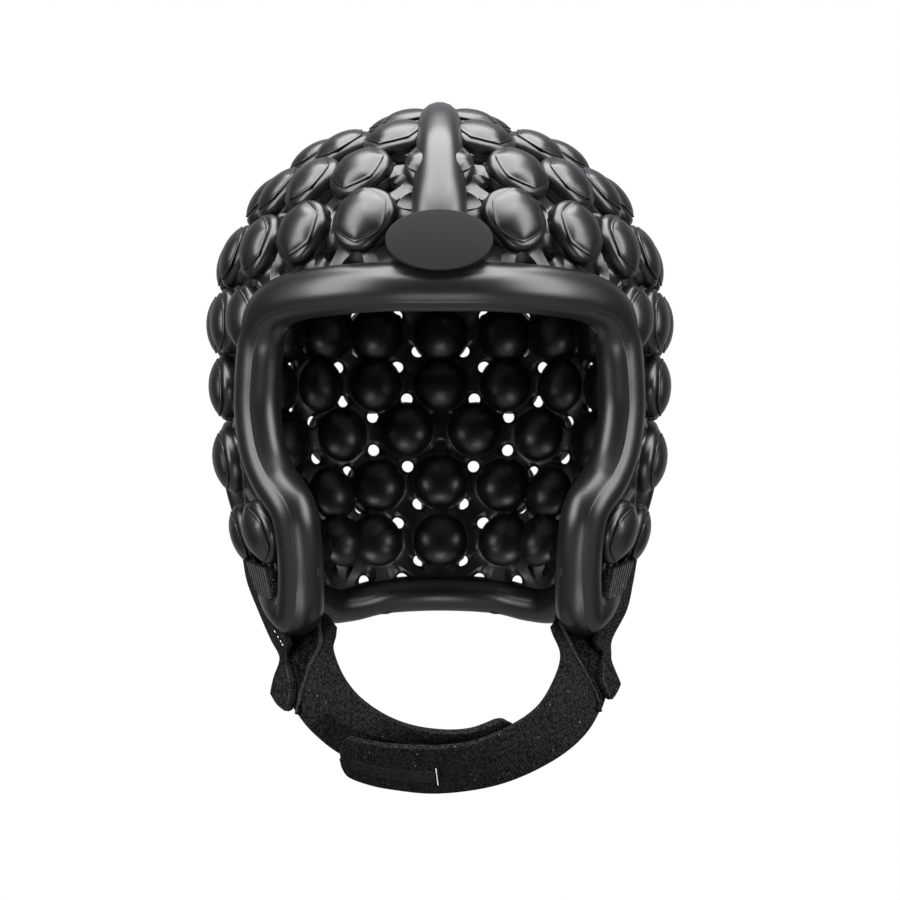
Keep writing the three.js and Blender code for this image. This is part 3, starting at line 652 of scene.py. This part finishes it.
half_rim = [(web_point(a, l), web_frame(a, l).col[2].xyz, *sizes) for a, l, *sizes in RIM_ROWS]
mirrored_rim = [
    (Vector((-p.x, p.y, p.z)), Vector((-o.x, o.y, o.z)), *sizes) for p, o, *sizes in half_rim
]
whole_rim = half_rim + mirrored_rim[-2::-1]
rim = bmesh.new()
add_roll(rim, along_path(whole_rim, 2 * RIM_STEPS, True), ROLL_ANGLES, True)

# Ring round the ear
EAR_STEPS = 48
EAR_RING_SIZES = (5, 7, 0.5)
ear_rows = []
for i in range(EAR_STEPS + 1):
    turn = math.tau * i / EAR_STEPS
    y = EAR_CENTRE[0] + EAR_HALF_SIZE[0] * math.cos(turn)
    level = EAR_CENTRE[1] + EAR_HALF_SIZE[1] * math.sin(turn)
    half_width, front, back = smooth_row(
        WALL_SECTIONS, (DOME_LEVEL - level) / WALL_STEP / (len(WALL_SECTIONS) - 1)
    )
    azimuth = math.degrees(math.acos(-y / (back if y > 0 else front)))
    ear_rows.append((web_point(azimuth, level), web_frame(azimuth, level).col[2].xyz, *EAR_RING_SIZES))
ROUND_ANGLES = [(20 * i, 0) for i in range(18)]
add_roll(rim, along_path(ear_rows, EAR_STEPS, True), ROUND_ANGLES, True)

# Crest over the centre line, from the brow over the crown to the nape: azimuth, level, half width
# and height of its top
CREST_ROWS = (
    (0, -51, 11, 12.5),
    (0, -38, 10.8, 12.5),
    (0, -22, 10, 12.5),
    (0, -5, 8.8, 12.5),
    (0, 4.5, 8, 12.5),
    (180, 4.5, 8.2, 12.5),
    (180, -5, 8.2, 12.5),
    (180, -28, 8.2, 12.5),
    (180, -68, 8.2, 12.5),
    (180, -110, 8.2, 12.5),
    (180, -150, 8.2, 11.5),
    (180, -176, 7.8, 6.5),
)
CREST_UNDERSIDE = 3
CREST_STEPS = 110
crest_rows = []
for azimuth, level, half_width, top in CREST_ROWS:
    half_depth = (top + CREST_UNDERSIDE) / 2
    lift = (top - CREST_UNDERSIDE) / 2
    out = web_frame(azimuth, level).col[2].xyz
    crest_rows.append((web_point(azimuth, level), out, half_width, half_depth, lift))
add_roll(rim, along_path(crest_rows, CREST_STEPS, False), ROUND_ANGLES, False)

# Moulded oval pad that carries the badge
BADGE_LEVEL = -42.3
BADGE_HALF_SIZE = (20, 11.6)
PAD_TOP = 12.6
PAD_MARGIN = 0.8
badge_axes = web_frame(0, BADGE_LEVEL)
bmesh.ops.create_cone(
    rim,
    cap_ends=True,
    segments=64,
    radius1=1,
    radius2=1,
    depth=PAD_TOP,
    matrix=badge_axes
    @ Matrix.Translation((0, 0, PAD_TOP / 2))
    @ Matrix.Diagonal((BADGE_HALF_SIZE[0] - PAD_MARGIN, BADGE_HALF_SIZE[1] - PAD_MARGIN, 1, 1)),
)
bmesh.ops.recalc_face_normals(rim, faces=rim.faces)
add_mesh(half, rim)
rim.free()

# The half ends on the centre plane
bmesh.ops.bisect_plane(
    half,
    geom=half.verts[:] + half.edges[:] + half.faces[:],
    plane_co=(0, 0, 0),
    plane_no=(1, 0, 0),
    clear_inner=True,
)
bmesh.ops.holes_fill(half, edges=[edge for edge in half.edges if edge.is_boundary], sides=0)
bmesh.ops.remove_doubles(half, verts=half.verts, dist=0.001)
bmesh.ops.recalc_face_normals(half, faces=half.faces)
bmesh.ops.scale(half, vec=(MM, MM, MM), verts=half.verts)
for face in half.faces:
    face.smooth = True


def math_node(tree, operation, first, second=None, third=None):
    """One Math node, fed by sockets or numbers. Gives its output."""
    node = tree.nodes.new("ShaderNodeMath")
    node.operation = operation
    for slot, value in zip(node.inputs, (first, second, third)):
        if isinstance(value, (int, float)):
            slot.default_value = value
        elif value is not None:
            tree.links.new(value, slot)
    return node.outputs["Value"]


def mix_colours(tree, share, first, second):
    """One Mix node between two colours, each a socket or numbers. Gives its output."""
    node = tree.nodes.new("ShaderNodeMix")
    node.data_type = "RGBA"
    share_in, *_, first_in, second_in = [slot for slot in node.inputs if slot.enabled]
    tree.links.new(share, share_in)
    for slot, value in ((first_in, first), (second_in, second)):
        if isinstance(value, bpy.types.NodeSocket):
            tree.links.new(value, slot)
        else:
            slot.default_value = (*value, 1)
    return next(slot for slot in node.outputs if slot.enabled)


def grain_node(tree, scale, detail):
    """Fine noise over a piece. Gives its value."""
    place = tree.nodes.new("ShaderNodeTexCoord")
    grain = tree.nodes.new("ShaderNodeTexNoise")
    grain.inputs["Scale"].default_value = scale
    grain.inputs["Detail"].default_value = detail
    tree.links.new(place.outputs["Object"], grain.inputs["Vector"])
    return grain.outputs["Fac"]


def add_bump(tree, shader, height, strength, distance):
    """A relief on the shader's normal."""
    bump = tree.nodes.new("ShaderNodeBump")
    bump.inputs["Strength"].default_value = strength
    bump.inputs["Distance"].default_value = distance
    tree.links.new(height, bump.inputs["Height"])
    tree.links.new(bump.outputs["Normal"], shader.inputs["Normal"])


# Foam finish: black satin skin with a fine grain, and a fine line where the two halves meet
SEAM_HALF_WIDTH = 0.00016
SEAM_SINK = 2.5
FOAM_COLOUR = (0.004, 0.004, 0.0043)
SEAM_COLOUR = (0.0012, 0.0012, 0.0012)
foam = bpy.data.materials.new("foam_skin")
foam.use_nodes = True
foam_tree = foam.node_tree
foam_shader = foam_tree.nodes["Principled BSDF"]
foam_shader.inputs["Roughness"].default_value = 0.33
foam_place = foam_tree.nodes.new("ShaderNodeTexCoord")
foam_axes = foam_tree.nodes.new("ShaderNodeSeparateXYZ")
foam_tree.links.new(foam_place.outputs["Object"], foam_axes.inputs["Vector"])
from_seam = math_node(foam_tree, "ABSOLUTE", foam_axes.outputs["X"])
at_seam = math_node(foam_tree, "LESS_THAN", from_seam, SEAM_HALF_WIDTH)
foam_tint = mix_colours(foam_tree, at_seam, FOAM_COLOUR, SEAM_COLOUR)
foam_tree.links.new(foam_tint, foam_shader.inputs["Base Color"])
foam_grain = grain_node(foam_tree, scale=1400, detail=2)
foam_height = math_node(foam_tree, "MULTIPLY_ADD", at_seam, -SEAM_SINK, foam_grain)
add_bump(foam_tree, foam_shader, foam_height, strength=0.12, distance=0.0002)

for side, mirror in (("left", 1), ("right", -1)):
    shell_mesh = half.copy()
    bmesh.ops.scale(shell_mesh, vec=(mirror, 1, 1), verts=shell_mesh.verts)
    if mirror < 0:
        bmesh.ops.reverse_faces(shell_mesh, faces=shell_mesh.faces)
    shell = to_object(shell_mesh, f"foam_half_{side}")
    shell.data.set_sharp_from_angle(angle=math.radians(75))
    shell.data.materials.append(foam)
    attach(shell, "root")
    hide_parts(f"shell_{side}")
half.free()

# Badge
# A thin flexible patch with a rounded edge, bonded to the moulded pad at the foot of the crest.
# It is left bare.
BADGE_THICKNESS = 1.3
BADGE_ROUNDING = 0.5
BADGE_BOTTOM = PAD_TOP + 0.05
BADGE_COLOURS = ((0.0028, 0.0028, 0.003), (0.0068, 0.0068, 0.0072))
badge_mesh = bmesh.new()
bmesh.ops.create_cone(
    badge_mesh, cap_ends=True, segments=96, radius1=1, radius2=1, depth=BADGE_THICKNESS
)
bmesh.ops.scale(badge_mesh, vec=(*BADGE_HALF_SIZE, 1), verts=badge_mesh.verts)
bmesh.ops.bevel(
    badge_mesh,
    geom=[edge for edge in badge_mesh.edges if all(vert.co.z > 0 for vert in edge.verts)],
    offset=BADGE_ROUNDING,
    affect="EDGES",
    segments=3,
    profile=0.5,
    material=-1,
)
bmesh.ops.translate(badge_mesh, verts=badge_mesh.verts, vec=(0, 0, BADGE_BOTTOM + BADGE_THICKNESS / 2))
bmesh.ops.transform(badge_mesh, matrix=Matrix.Scale(MM, 4) @ badge_axes, verts=badge_mesh.verts)
badge = to_object(badge_mesh, "badge")
badge.data.set_sharp_from_angle(angle=math.radians(50))
badge_finish = bpy.data.materials.new("badge_finish")
badge_finish.use_nodes = True
badge_tree = badge_finish.node_tree
badge_shader = badge_tree.nodes["Principled BSDF"]
badge_shader.inputs["Roughness"].default_value = 0.75
badge_shader.inputs["Specular IOR Level"].default_value = 0.2
badge_grain = grain_node(badge_tree, scale=1800, detail=3)
badge_tint = mix_colours(badge_tree, badge_grain, *BADGE_COLOURS)
badge_tree.links.new(badge_tint, badge_shader.inputs["Base Color"])
add_bump(badge_tree, badge_shader, badge_grain, strength=0.15, distance=0.0001)
badge.data.materials.append(badge_finish)
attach(badge, "root")
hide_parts("brow_badge")

# Chin strap
# Two halves of soft knit cloth over thin sponge. The right half passes behind, and the left half
# closes over it and ends round. Both start inside the lower rim, and a folded hem crosses each.
CHIN_THICKNESS = 2.6
CHIN_ROUNDING = 0.9
CHIN_CROWN = 0.7
CHIN_CORNERS = (5, 7)
# Inner and outer edge of each section
CHIN_LEFT_ROWS = (
    ((43.6, -35, -185.5), (54, -12, -178)),
    ((44.5, -37, -189), (62, -19.5, -187.5)),
    ((47.5, -42, -197), (65, -27, -202)),
    ((45, -50, -206), (63, -33, -216)),
    ((38.5, -59, -216), (56, -42, -228)),
    ((28, -68, -223), (43, -52, -237.5)),
    ((14, -76, -228.6), (23, -60, -245.5)),
    ((0, -79, -230.5), (0, -64, -248.6)),
    ((-17, -79, -230), (-19, -63.5, -247)),
    ((-29, -76.5, -228.5), (-30, -62, -244.5)),
    ((-37, -73, -226.5), (-37, -59.5, -241.5)),
)
CHIN_RIGHT_ROWS = (
    ((-40.7, -35, -185.5), (-54, -12, -178)),
    ((-41, -38, -190), (-61, -19.5, -187.5)),
    ((-41.8, -42, -195.5), (-60.5, -27, -200)),
    ((-37.5, -51, -205.5), (-57, -34, -216)),
    ((-29.6, -61, -214), (-49, -43, -227)),
    ((-17, -71, -221), (-34, -54, -236.5)),
    ((-3, -76.5, -224.5), (-12, -58, -240.5)),
    ((12, -73.5, -224.5), (8, -57, -240)),
    ((27, -66.5, -219), (29, -54, -232)),
)


def strap_surface(rows, facing):
    """Places on a strap at shares of its length and width, lifted off its outside."""
    flat = [(*inner, *outer) for inner, outer in rows]
    nudge = 0.004

    def place(along, across, lift):
        """One place on the strap."""
        here = smooth_row(flat, along)
        ahead = smooth_row(flat, min(along + nudge, 1))
        behind = smooth_row(flat, max(along - nudge, 0))
        inner, outer = Vector(here[:3]), Vector(here[3:])
        onwards = Vector(ahead[:3]) + Vector(ahead[3:]) - Vector(behind[:3]) - Vector(behind[3:])
        out = (outer - inner).cross(onwards).normalized() * facing
        return inner.lerp(outer, across) + out * lift

    return place


def add_band(mesh, surface, rows, lift, crown=0, corners=(0, 0), grid=(48, 12)):
    """A sheet on a strap through rows of (place along it, shares of its width at both edges).
    The corners at its two ends are rounded, and its middle may be crowned. Gives the cut's
    width and length, and its area, in metres."""
    cloth_map = mesh.loops.layers.uv.verify()
    made = bmesh.ops.create_grid(mesh, x_segments=grid[0], y_segments=grid[1], size=0.5)["verts"]
    edges = {}
    for vert in made:
        u = vert.co.x + 0.5
        if u not in edges:
            along, inner, outer = smooth_row(rows, u)
            edges[u] = (along, inner, outer, surface(along, inner, 0), surface(along, outer, 0))
    stations = [edges[u] for u in sorted(edges)]
    middles = [(near + far) / 2 for *_, near, far in stations]
    steps = [(b - a).length for a, b in zip(middles, middles[1:])]
    length = sum(steps)
    widths = [(far - near).length for *_, near, far in stations]
    area = sum(step * (a + b) / 2 for step, a, b in zip(steps, widths, widths[1:]))
    spread = {}
    for vert in made:
        u, v = vert.co.x + 0.5, vert.co.y + 0.5
        along, inner, outer, near, far = edges[u]
        width = (far - near).length
        trim = 0
        for radius, distance in zip(corners, (u * length, (1 - u) * length)):
            if radius > distance:
                trim = radius - math.sqrt(max(radius**2 - (radius - distance) ** 2, 0))
        share = trim / width + v * (1 - 2 * trim / width)
        height = lift + crown * (1 - (2 * v - 1) ** 2)
        vert.co = surface(along, inner + (outer - inner) * share, height)
        spread[vert] = (u * length, share * width)
    for face in {face for vert in made for face in vert.link_faces}:
        for loop in face.loops:
            loop[cloth_map].uv = spread[loop.vert]
    return (max(widths) * MM, length * MM), area * MM * MM


def sewn_piece(mesh, name, material):
    """A mesh in millimetres as a smooth piece in metres, with its material."""
    bmesh.ops.scale(mesh, vec=(MM, MM, MM), verts=mesh.verts)
    for face in mesh.faces:
        face.smooth = True
    piece = to_object(mesh, name)
    piece.data.materials.append(material)
    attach(piece, "root")
    return piece


def finish_cloth(mesh, name, thickness, rounding, material):
    """A sheet of cloth as a piece with its thickness and its rounded edges."""
    cloth = sewn_piece(mesh, name, material)
    wall = cloth.modifiers.new("thickness", "SOLIDIFY")
    wall.thickness = thickness * MM
    wall.offset = 0
    edge = cloth.modifiers.new("edge", "BEVEL")
    edge.width = rounding * MM
    edge.segments = 3
    edge.limit_method = "ANGLE"
    edge.angle_limit = math.radians(50)
    return cloth


def effect_group(name, inputs, outputs):
    """An empty shader node group with number inputs and outputs."""
    group = bpy.data.node_groups.new(name, "ShaderNodeTree")
    for socket, value in inputs:
        made = group.interface.new_socket(socket, in_out="INPUT", socket_type="NodeSocketFloat")
        made.default_value = value
    for socket in outputs:
        group.interface.new_socket(socket, in_out="OUTPUT", socket_type="NodeSocketFloat")
    source = group.nodes.new("NodeGroupInput")
    target = group.nodes.new("NodeGroupOutput")
    return group, source, target


# Cloth effect: fine loops, coarser fuzz, ribs across the strap and a few specks of lint. It can also
# paint shade on the ribs: lighter on their crests, darker in their grooves.
LOOPS_SHARE = 0.7
FUZZ_SHARE = 0.3
SPECK_SIZE = 0.07
knit, knit_in, knit_out = effect_group(
    "knit",
    (
        ("Loops", 2600),
        ("Fuzz", 900),
        ("Lint", 260),
        ("Contrast", 1.5),
        ("Rib Pitch", 0.9),
        ("Rib Height", 0.3),
        ("Painted Rib Shade", 0),
        ("Ribs Along", 0),
        ("Darker", 0),
    ),
    ("Height", "Shade", "Specks"),
)
knit_place = knit.nodes.new("ShaderNodeTexCoord")
for label in ("Loops", "Fuzz"):
    noise = knit.nodes.new("ShaderNodeTexNoise")
    noise.name = label
    noise.inputs["Detail"].default_value = 3
    knit.links.new(knit_place.outputs["Object"], noise.inputs["Vector"])
    knit.links.new(knit_in.outputs[label], noise.inputs["Scale"])
specks = knit.nodes.new("ShaderNodeTexVoronoi")
knit.links.new(knit_place.outputs["Object"], specks.inputs["Vector"])
knit.links.new(knit_in.outputs["Lint"], specks.inputs["Scale"])
knit_axes = knit.nodes.new("ShaderNodeSeparateXYZ")
knit.links.new(knit_place.outputs["UV"], knit_axes.inputs["Vector"])
across_less_along = math_node(knit, "SUBTRACT", knit_axes.outputs["Y"], knit_axes.outputs["X"])
rib_place = math_node(
    knit, "MULTIPLY_ADD", across_less_along, knit_in.outputs["Ribs Along"], knit_axes.outputs["X"]
)
rib_way = math_node(knit, "MULTIPLY", rib_place, math.tau)
rib_turn = math_node(knit, "DIVIDE", rib_way, knit_in.outputs["Rib Pitch"])
ribs = math_node(knit, "MULTIPLY", math_node(knit, "SINE", rib_turn), knit_in.outputs["Rib Height"])
loops = knit.nodes["Loops"].outputs["Fac"]
fuzz = knit.nodes["Fuzz"].outputs["Fac"]
loops_and_ribs = math_node(knit, "MULTIPLY_ADD", loops, LOOPS_SHARE, ribs)
cloth_height = math_node(knit, "MULTIPLY_ADD", fuzz, FUZZ_SHARE, loops_and_ribs)
knit.links.new(cloth_height, knit_out.inputs["Height"])
uneven = math_node(knit, "ADD", loops, fuzz)
from_mean = math_node(knit, "SUBTRACT", uneven, 1)
# Painted shade on the ribs: the colour follows the ribs' height, lighter on the crests and darker in
# the grooves
painted_rib_shade = math_node(knit, "MULTIPLY_ADD", ribs, knit_in.outputs["Painted Rib Shade"], 0.5)
darker_ribs = math_node(knit, "SUBTRACT", painted_rib_shade, knit_in.outputs["Darker"])
shade = math_node(knit, "MULTIPLY_ADD", from_mean, knit_in.outputs["Contrast"], darker_ribs)
knit.links.new(shade, knit_out.inputs["Shade"])
on_speck = math_node(knit, "LESS_THAN", specks.outputs["Distance"], SPECK_SIZE)
knit.links.new(on_speck, knit_out.inputs["Specks"])


def cloth_material(name, colour, lint_colour, roughness, relief, sizes):
    """Knit, pile or webbing, from the cloth effect with its own sizes."""
    dark_share = 0.12
    material = bpy.data.materials.new(name)
    material.use_nodes = True
    tree = material.node_tree
    shader = tree.nodes["Principled BSDF"]
    shader.inputs["Roughness"].default_value = roughness
    shader.inputs["Specular IOR Level"].default_value = 0.04
    effect = tree.nodes.new("ShaderNodeGroup")
    effect.node_tree = knit
    for socket, value in sizes.items():
        effect.inputs[socket].default_value = value
    dark = [part * dark_share for part in colour]
    shaded = mix_colours(tree, effect.outputs["Shade"], dark, colour)
    linted = mix_colours(tree, effect.outputs["Specks"], shaded, lint_colour)
    tree.links.new(linted, shader.inputs["Base Color"])
    add_bump(tree, shader, effect.outputs["Height"], strength=relief, distance=0.0004)
    return material


strap_cloth = cloth_material(
    "strap_cloth",
    colour=(0.0145, 0.0145, 0.015),
    lint_colour=(0.1, 0.1, 0.1),
    roughness=0.85,
    relief=0.9,
    sizes={"Lint": 210, "Contrast": 5, "Rib Height": 0.35},
)
hem_cloth = cloth_material(
    "hem_cloth",
    colour=(0.03, 0.03, 0.031),
    lint_colour=(0.08, 0.08, 0.08),
    roughness=0.85,
    relief=0.8,
    sizes={"Lint": 210, "Contrast": 2, "Rib Height": 0.3},
)
chin_left = strap_surface(CHIN_LEFT_ROWS, -1)
chin_right = strap_surface(CHIN_RIGHT_ROWS, 1)
# Place along each half and share of its width where its hem crosses it
HEM_ROWS = {
    "left": ((0.06, 0.12), (0.13, 0.14), (0.2, 0.2), (0.25, 0.45), (0.3, 0.8), (0.335, 1)),
    "right": (
        (0.06, 0.34),
        (0.13, 0.25),
        (0.2, 0.17),
        (0.25, 0.22),
        (0.3, 0.44),
        (0.375, 0.77),
        (0.43, 1),
    ),
}
HEM_HALF_WIDTHS = {"left": 0.5, "right": 1}
HEM_HALF_DEPTH = 0.8
HEM_LIFT = 0.2
HEM_STEPS = 60
HEM_ANGLES = [(30 * i, 0) for i in range(12)]
# A band as long and as wide as its strap
WHOLE_STRAP = ((0, 0, 1), (1, 0, 1))
ON_CHIN = CHIN_THICKNESS / 2 + CHIN_CROWN


def add_hem(name, surface, path, lift, half_width, half_depth):
    """A folded edge along places on a strap, each a place along it and a share of its width."""
    samples = []
    for along, across in path:
        foot = surface(along, across, lift)
        out = surface(along, across, lift + 1) - foot
        samples.append((foot, out, half_width, half_depth, HEM_LIFT))
    hem_mesh = bmesh.new()
    add_roll(hem_mesh, along_path(samples, HEM_STEPS, False), HEM_ANGLES, False)
    bmesh.ops.recalc_face_normals(hem_mesh, faces=hem_mesh.faces)
    hem = sewn_piece(hem_mesh, name, hem_cloth)
    return hem


chin_halves = {}
for side, surface in (("left", chin_left), ("right", chin_right)):
    chin_mesh = bmesh.new()
    cut, area = add_band(
        chin_mesh, surface, WHOLE_STRAP, 0, crown=CHIN_CROWN, corners=CHIN_CORNERS, grid=(150, 16)
    )
    chin = finish_cloth(chin_mesh, f"chin_half_{side}", CHIN_THICKNESS, CHIN_ROUNDING, strap_cloth)
    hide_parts(f"chin_strap_{side}")
    half_width = HEM_HALF_WIDTHS[side]
    hem = add_hem(f"hem_{side}", surface, HEM_ROWS[side], ON_CHIN, half_width, HEM_HALF_DEPTH)
    chin_halves[side] = (chin, cut, area, [hem])

# Loop pile
# Brushed nylon loops sewn on the upper outside of both halves, from the hem to the outer edge,
# which the tails of the side straps grip.
PILE_THICKNESS = 1.2
PILE_ROUNDING = 0.4
# Shares of the strap's width: the furthest out that the pile's inner edge goes, and its outer edge
PILE_EDGES = (0.92, 0.98)
pile_cloth = cloth_material(
    "loop_pile",
    colour=(0.0075, 0.0075, 0.0077),
    lint_colour=(0.05, 0.05, 0.05),
    roughness=1.0,
    relief=1.0,
    sizes={"Loops": 1300, "Fuzz": 800, "Lint": 420, "Contrast": 10, "Rib Height": 0, "Darker": 0.5},
)
for side, surface in (("left", chin_left), ("right", chin_right)):
    pile_mesh = bmesh.new()
    cut, area = add_band(
        pile_mesh,
        surface,
        [(along, min(across, PILE_EDGES[0]), PILE_EDGES[1]) for along, across in HEM_ROWS[side]],
        ON_CHIN + PILE_THICKNESS / 2 - CHIN_CROWN / 2,
        grid=(60, 14),
    )
    pile = finish_cloth(pile_mesh, f"loop_pile_{side}", PILE_THICKNESS, PILE_ROUNDING, pile_cloth)
    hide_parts(f"loop_patch_{side}")

# Hook pile
# A strip of fine nylon hooks on a thin backing, sewn to the outside of the rear half.
# The front half closes on it.
HOOK_THICKNESS = 0.9
HOOK_ROUNDING = 0.3
HOOK_ROWS = (
    (0.48, 0.52, 0.92),
    (0.55, 0.48, 0.93),
    (0.62, 0.36, 0.93),
    (0.7, 0.28, 0.93),
    (0.78, 0.24, 0.93),
)
hook_cloth = cloth_material(
    "hook_pile",
    colour=(0.006, 0.006, 0.0062),
    lint_colour=(0.05, 0.05, 0.05),
    roughness=0.8,
    relief=1.0,
    sizes={"Loops": 1500, "Fuzz": 900, "Lint": 700, "Contrast": 10, "Rib Height": 0, "Darker": 0.4},
)
hook_mesh = bmesh.new()
cut, area = add_band(
    hook_mesh,
    chin_right,
    HOOK_ROWS,
    ON_CHIN + HOOK_THICKNESS / 2 - CHIN_CROWN / 2,
    corners=(1.5, 1.5),
    grid=(50, 14),
)
hook = finish_cloth(hook_mesh, "hook_pile", HOOK_THICKNESS, HOOK_ROUNDING, hook_cloth)
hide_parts("hook_patch")

# Pull tab
# A short tape of ribbed webbing, sewn down on the front half near its end.
# A white bar of stitches shows where it starts.
TAB_THICKNESS = 0.9
TAB_ROUNDING = 0.3
TAB_SINK = 0.2
TAB_ROWS = ((0.71, 0.46, 0.7), (0.82, 0.46, 0.7), (0.94, 0.44, 0.66))
THREAD_COLOURS = ((0.4, 0.4, 0.39), (0.82, 0.82, 0.8))
THREAD_RADIUS = 0.25
BAR_STITCHES = [(0.7085 - 0.0006 * i, 0.395 + 0.048 * i) for i in range(9)]
BAR_STITCH_LENGTH = 1.5
BAR_LIFT = 0.15
tape_cloth = cloth_material(
    "ribbed_tape",
    colour=(0.026, 0.026, 0.0266),
    lint_colour=(0.06, 0.06, 0.06),
    roughness=0.7,
    relief=0.9,
    sizes={"Rib Pitch": 0.8, "Rib Height": 1.2, "Lint": 100},
)
tab_mesh = bmesh.new()
add_band(
    tab_mesh,
    chin_left,
    TAB_ROWS,
    ON_CHIN + TAB_THICKNESS / 2 - TAB_SINK,
    corners=(0.5, 1),
    grid=(50, 8),
)
tab = finish_cloth(tab_mesh, "pull_tape", TAB_THICKNESS, TAB_ROUNDING, tape_cloth)
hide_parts("pull_tab")
white_thread = bpy.data.materials.new("white_thread")
white_thread.use_nodes = True
thread_tree = white_thread.node_tree
thread_shader = thread_tree.nodes["Principled BSDF"]
thread_shader.inputs["Roughness"].default_value = 0.8
thread_twist = grain_node(thread_tree, scale=3000, detail=2)
thread_tint = mix_colours(thread_tree, thread_twist, *THREAD_COLOURS)
thread_tree.links.new(thread_tint, thread_shader.inputs["Base Color"])


def add_stitches(name, surface, stations, lift, length):
    """Short white stitches between stations of (place along, share of the width) on a strap."""
    thread = bmesh.new()
    points = [surface(along, across, lift) for along, across in stations]
    for near, far in zip(points, points[1:]):
        along_thread = (far - near).normalized()
        turn = along_thread.to_track_quat("X", "Z").to_matrix().to_4x4()
        bmesh.ops.create_uvsphere(
            thread,
            u_segments=8,
            v_segments=6,
            radius=1,
            matrix=Matrix.Translation((near + far) / 2)
            @ turn
            @ Matrix.Diagonal((length / 2, THREAD_RADIUS, THREAD_RADIUS, 1)),
        )
    stitches = sewn_piece(thread, name, white_thread)
    return stitches


bar = add_stitches("tape_stitches", chin_left, BAR_STITCHES, ON_CHIN + BAR_LIFT, BAR_STITCH_LENGTH)
chin_halves["left"][3].extend([tab, bar])

# Side straps
# Cloth wings from the outside of the lower rim, narrow where they meet the loop pile, with a leaf
# shaped tail that grips it and stands out past the chin strap's edge.
SIDE_THICKNESS = 1.8
SIDE_ROUNDING = 0.5
SEWN_GAP = 0.1
SIDE_LIFT = ON_CHIN + PILE_THICKNESS + SIDE_THICKNESS / 2 + SEWN_GAP
SIDE_TOP_ROWS = {
    "left": (
        ((65, -38, -164.5), (77.6, -9, -161.5)),
        ((64, -38, -174), (76, -10, -170.5)),
        ((62.5, -36, -184), (73.4, -15, -181)),
        ((60.5, -35, -193), (67.4, -23, -192)),
    ),
    "right": (
        ((65, -38, -164.5), (77.6, -9, -161.5)),
        ((64, -38, -174), (75.8, -10, -170.5)),
        ((62.5, -36, -184), (71.4, -15, -181)),
        ((58.5, -37, -193), (66.2, -23, -192)),
    ),
}
# Place along the chin strap, and the shares of its width at both edges
SIDE_LOWER_ROWS = {
    "left": (
        (0.188, 0.77, 0.95),
        (0.207, 0.74, 0.95),
        (0.229, 0.7, 1.04),
        (0.25, 0.69, 1.15),
        (0.258, 0.7, 1.15),
        (0.279, 0.79, 1.1),
        (0.3, 0.96, 1.04),
    ),
    "right": (
        (0.245, 0.78, 0.98),
        (0.272, 0.81, 0.98),
        (0.304, 0.77, 1.12),
        (0.337, 0.76, 1.23),
        (0.348, 0.77, 1.23),
        (0.38, 0.85, 1.17),
        (0.413, 0.98, 1.08),
    ),
}
# Stitched fold along the inner edge of the tail, and the stitches that show on the right wing
TAIL_HEM_ROWS = ((0.55, 0.16), (0.65, 0.12), (0.78, 0.12), (0.9, 0.2), (0.97, 0.34))
TAIL_HEM_HALF_SIZE = (0.4, 0.3)
WING_STITCHES = [(0.25 + 0.021 * i, 0.5 - 0.05 * i) for i in range(5)]
WING_STITCH_LENGTH = 1.3
ON_WING = SIDE_THICKNESS / 2
side_surfaces = {}
for side, mirror, chin_place, facing in (("left", 1, chin_left, -1), ("right", -1, chin_right, 1)):
    rows = [tuple((mirror * x, y, z) for x, y, z in row) for row in SIDE_TOP_ROWS[side]]
    rows += [
        (chin_place(along, inner, SIDE_LIFT), chin_place(along, outer, SIDE_LIFT))
        for along, inner, outer in SIDE_LOWER_ROWS[side]
    ]
    surface = side_surfaces[side] = strap_surface(rows, facing)
    side_mesh = bmesh.new()
    cut, area = add_band(side_mesh, surface, WHOLE_STRAP, 0, corners=(0, 0.5), grid=(100, 12))
    wing = finish_cloth(side_mesh, f"side_wing_{side}", SIDE_THICKNESS, SIDE_ROUNDING, strap_cloth)
    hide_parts(f"side_strap_{side}")
    sewn_on = [add_hem(f"tail_hem_{side}", surface, TAIL_HEM_ROWS, ON_WING, *TAIL_HEM_HALF_SIZE)]
    if side == "right":
        lift = ON_WING + SEWN_GAP
        sewn_on.append(add_stitches("wing_stitches", surface, WING_STITCHES, lift, WING_STITCH_LENGTH))

# Elastics
# Short ribbed webbing woven with rubber threads, which comes out from under the lowest pods.
# It is sewn over the top of each side strap. Its ribs carry painted shade, lighter on their crests and
# darker in their grooves.
ELASTIC_THICKNESS = 1.4
ELASTIC_ROUNDING = 0.3
ELASTIC_ROWS = ((0, 0.12, 0.76), (0.06, 0.06, 0.66), (0.12, 0.02, 0.54))
elastic_cloth = cloth_material(
    "ribbed_elastic",
    colour=(0.05, 0.05, 0.051),
    lint_colour=(0.06, 0.06, 0.06),
    roughness=0.7,
    relief=1.0,
    sizes={
        "Contrast": 1,
        "Rib Pitch": 2.6,
        "Rib Height": 1,
        # Painted shade on the ribs: lighter on their crests, darker in their grooves
        "Painted Rib Shade": 1,
        "Ribs Along": 1,
        "Lint": 100,
    },
)
for side in ("left", "right"):
    elastic_mesh = bmesh.new()
    cut, area = add_band(
        elastic_mesh,
        side_surfaces[side],
        ELASTIC_ROWS,
        ON_WING + ELASTIC_THICKNESS / 2 + SEWN_GAP,
        grid=(24, 12),
    )
    elastic = finish_cloth(
        elastic_mesh, f"ribbed_elastic_{side}", ELASTIC_THICKNESS, ELASTIC_ROUNDING, elastic_cloth
    )
    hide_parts(f"elastic_{side}")
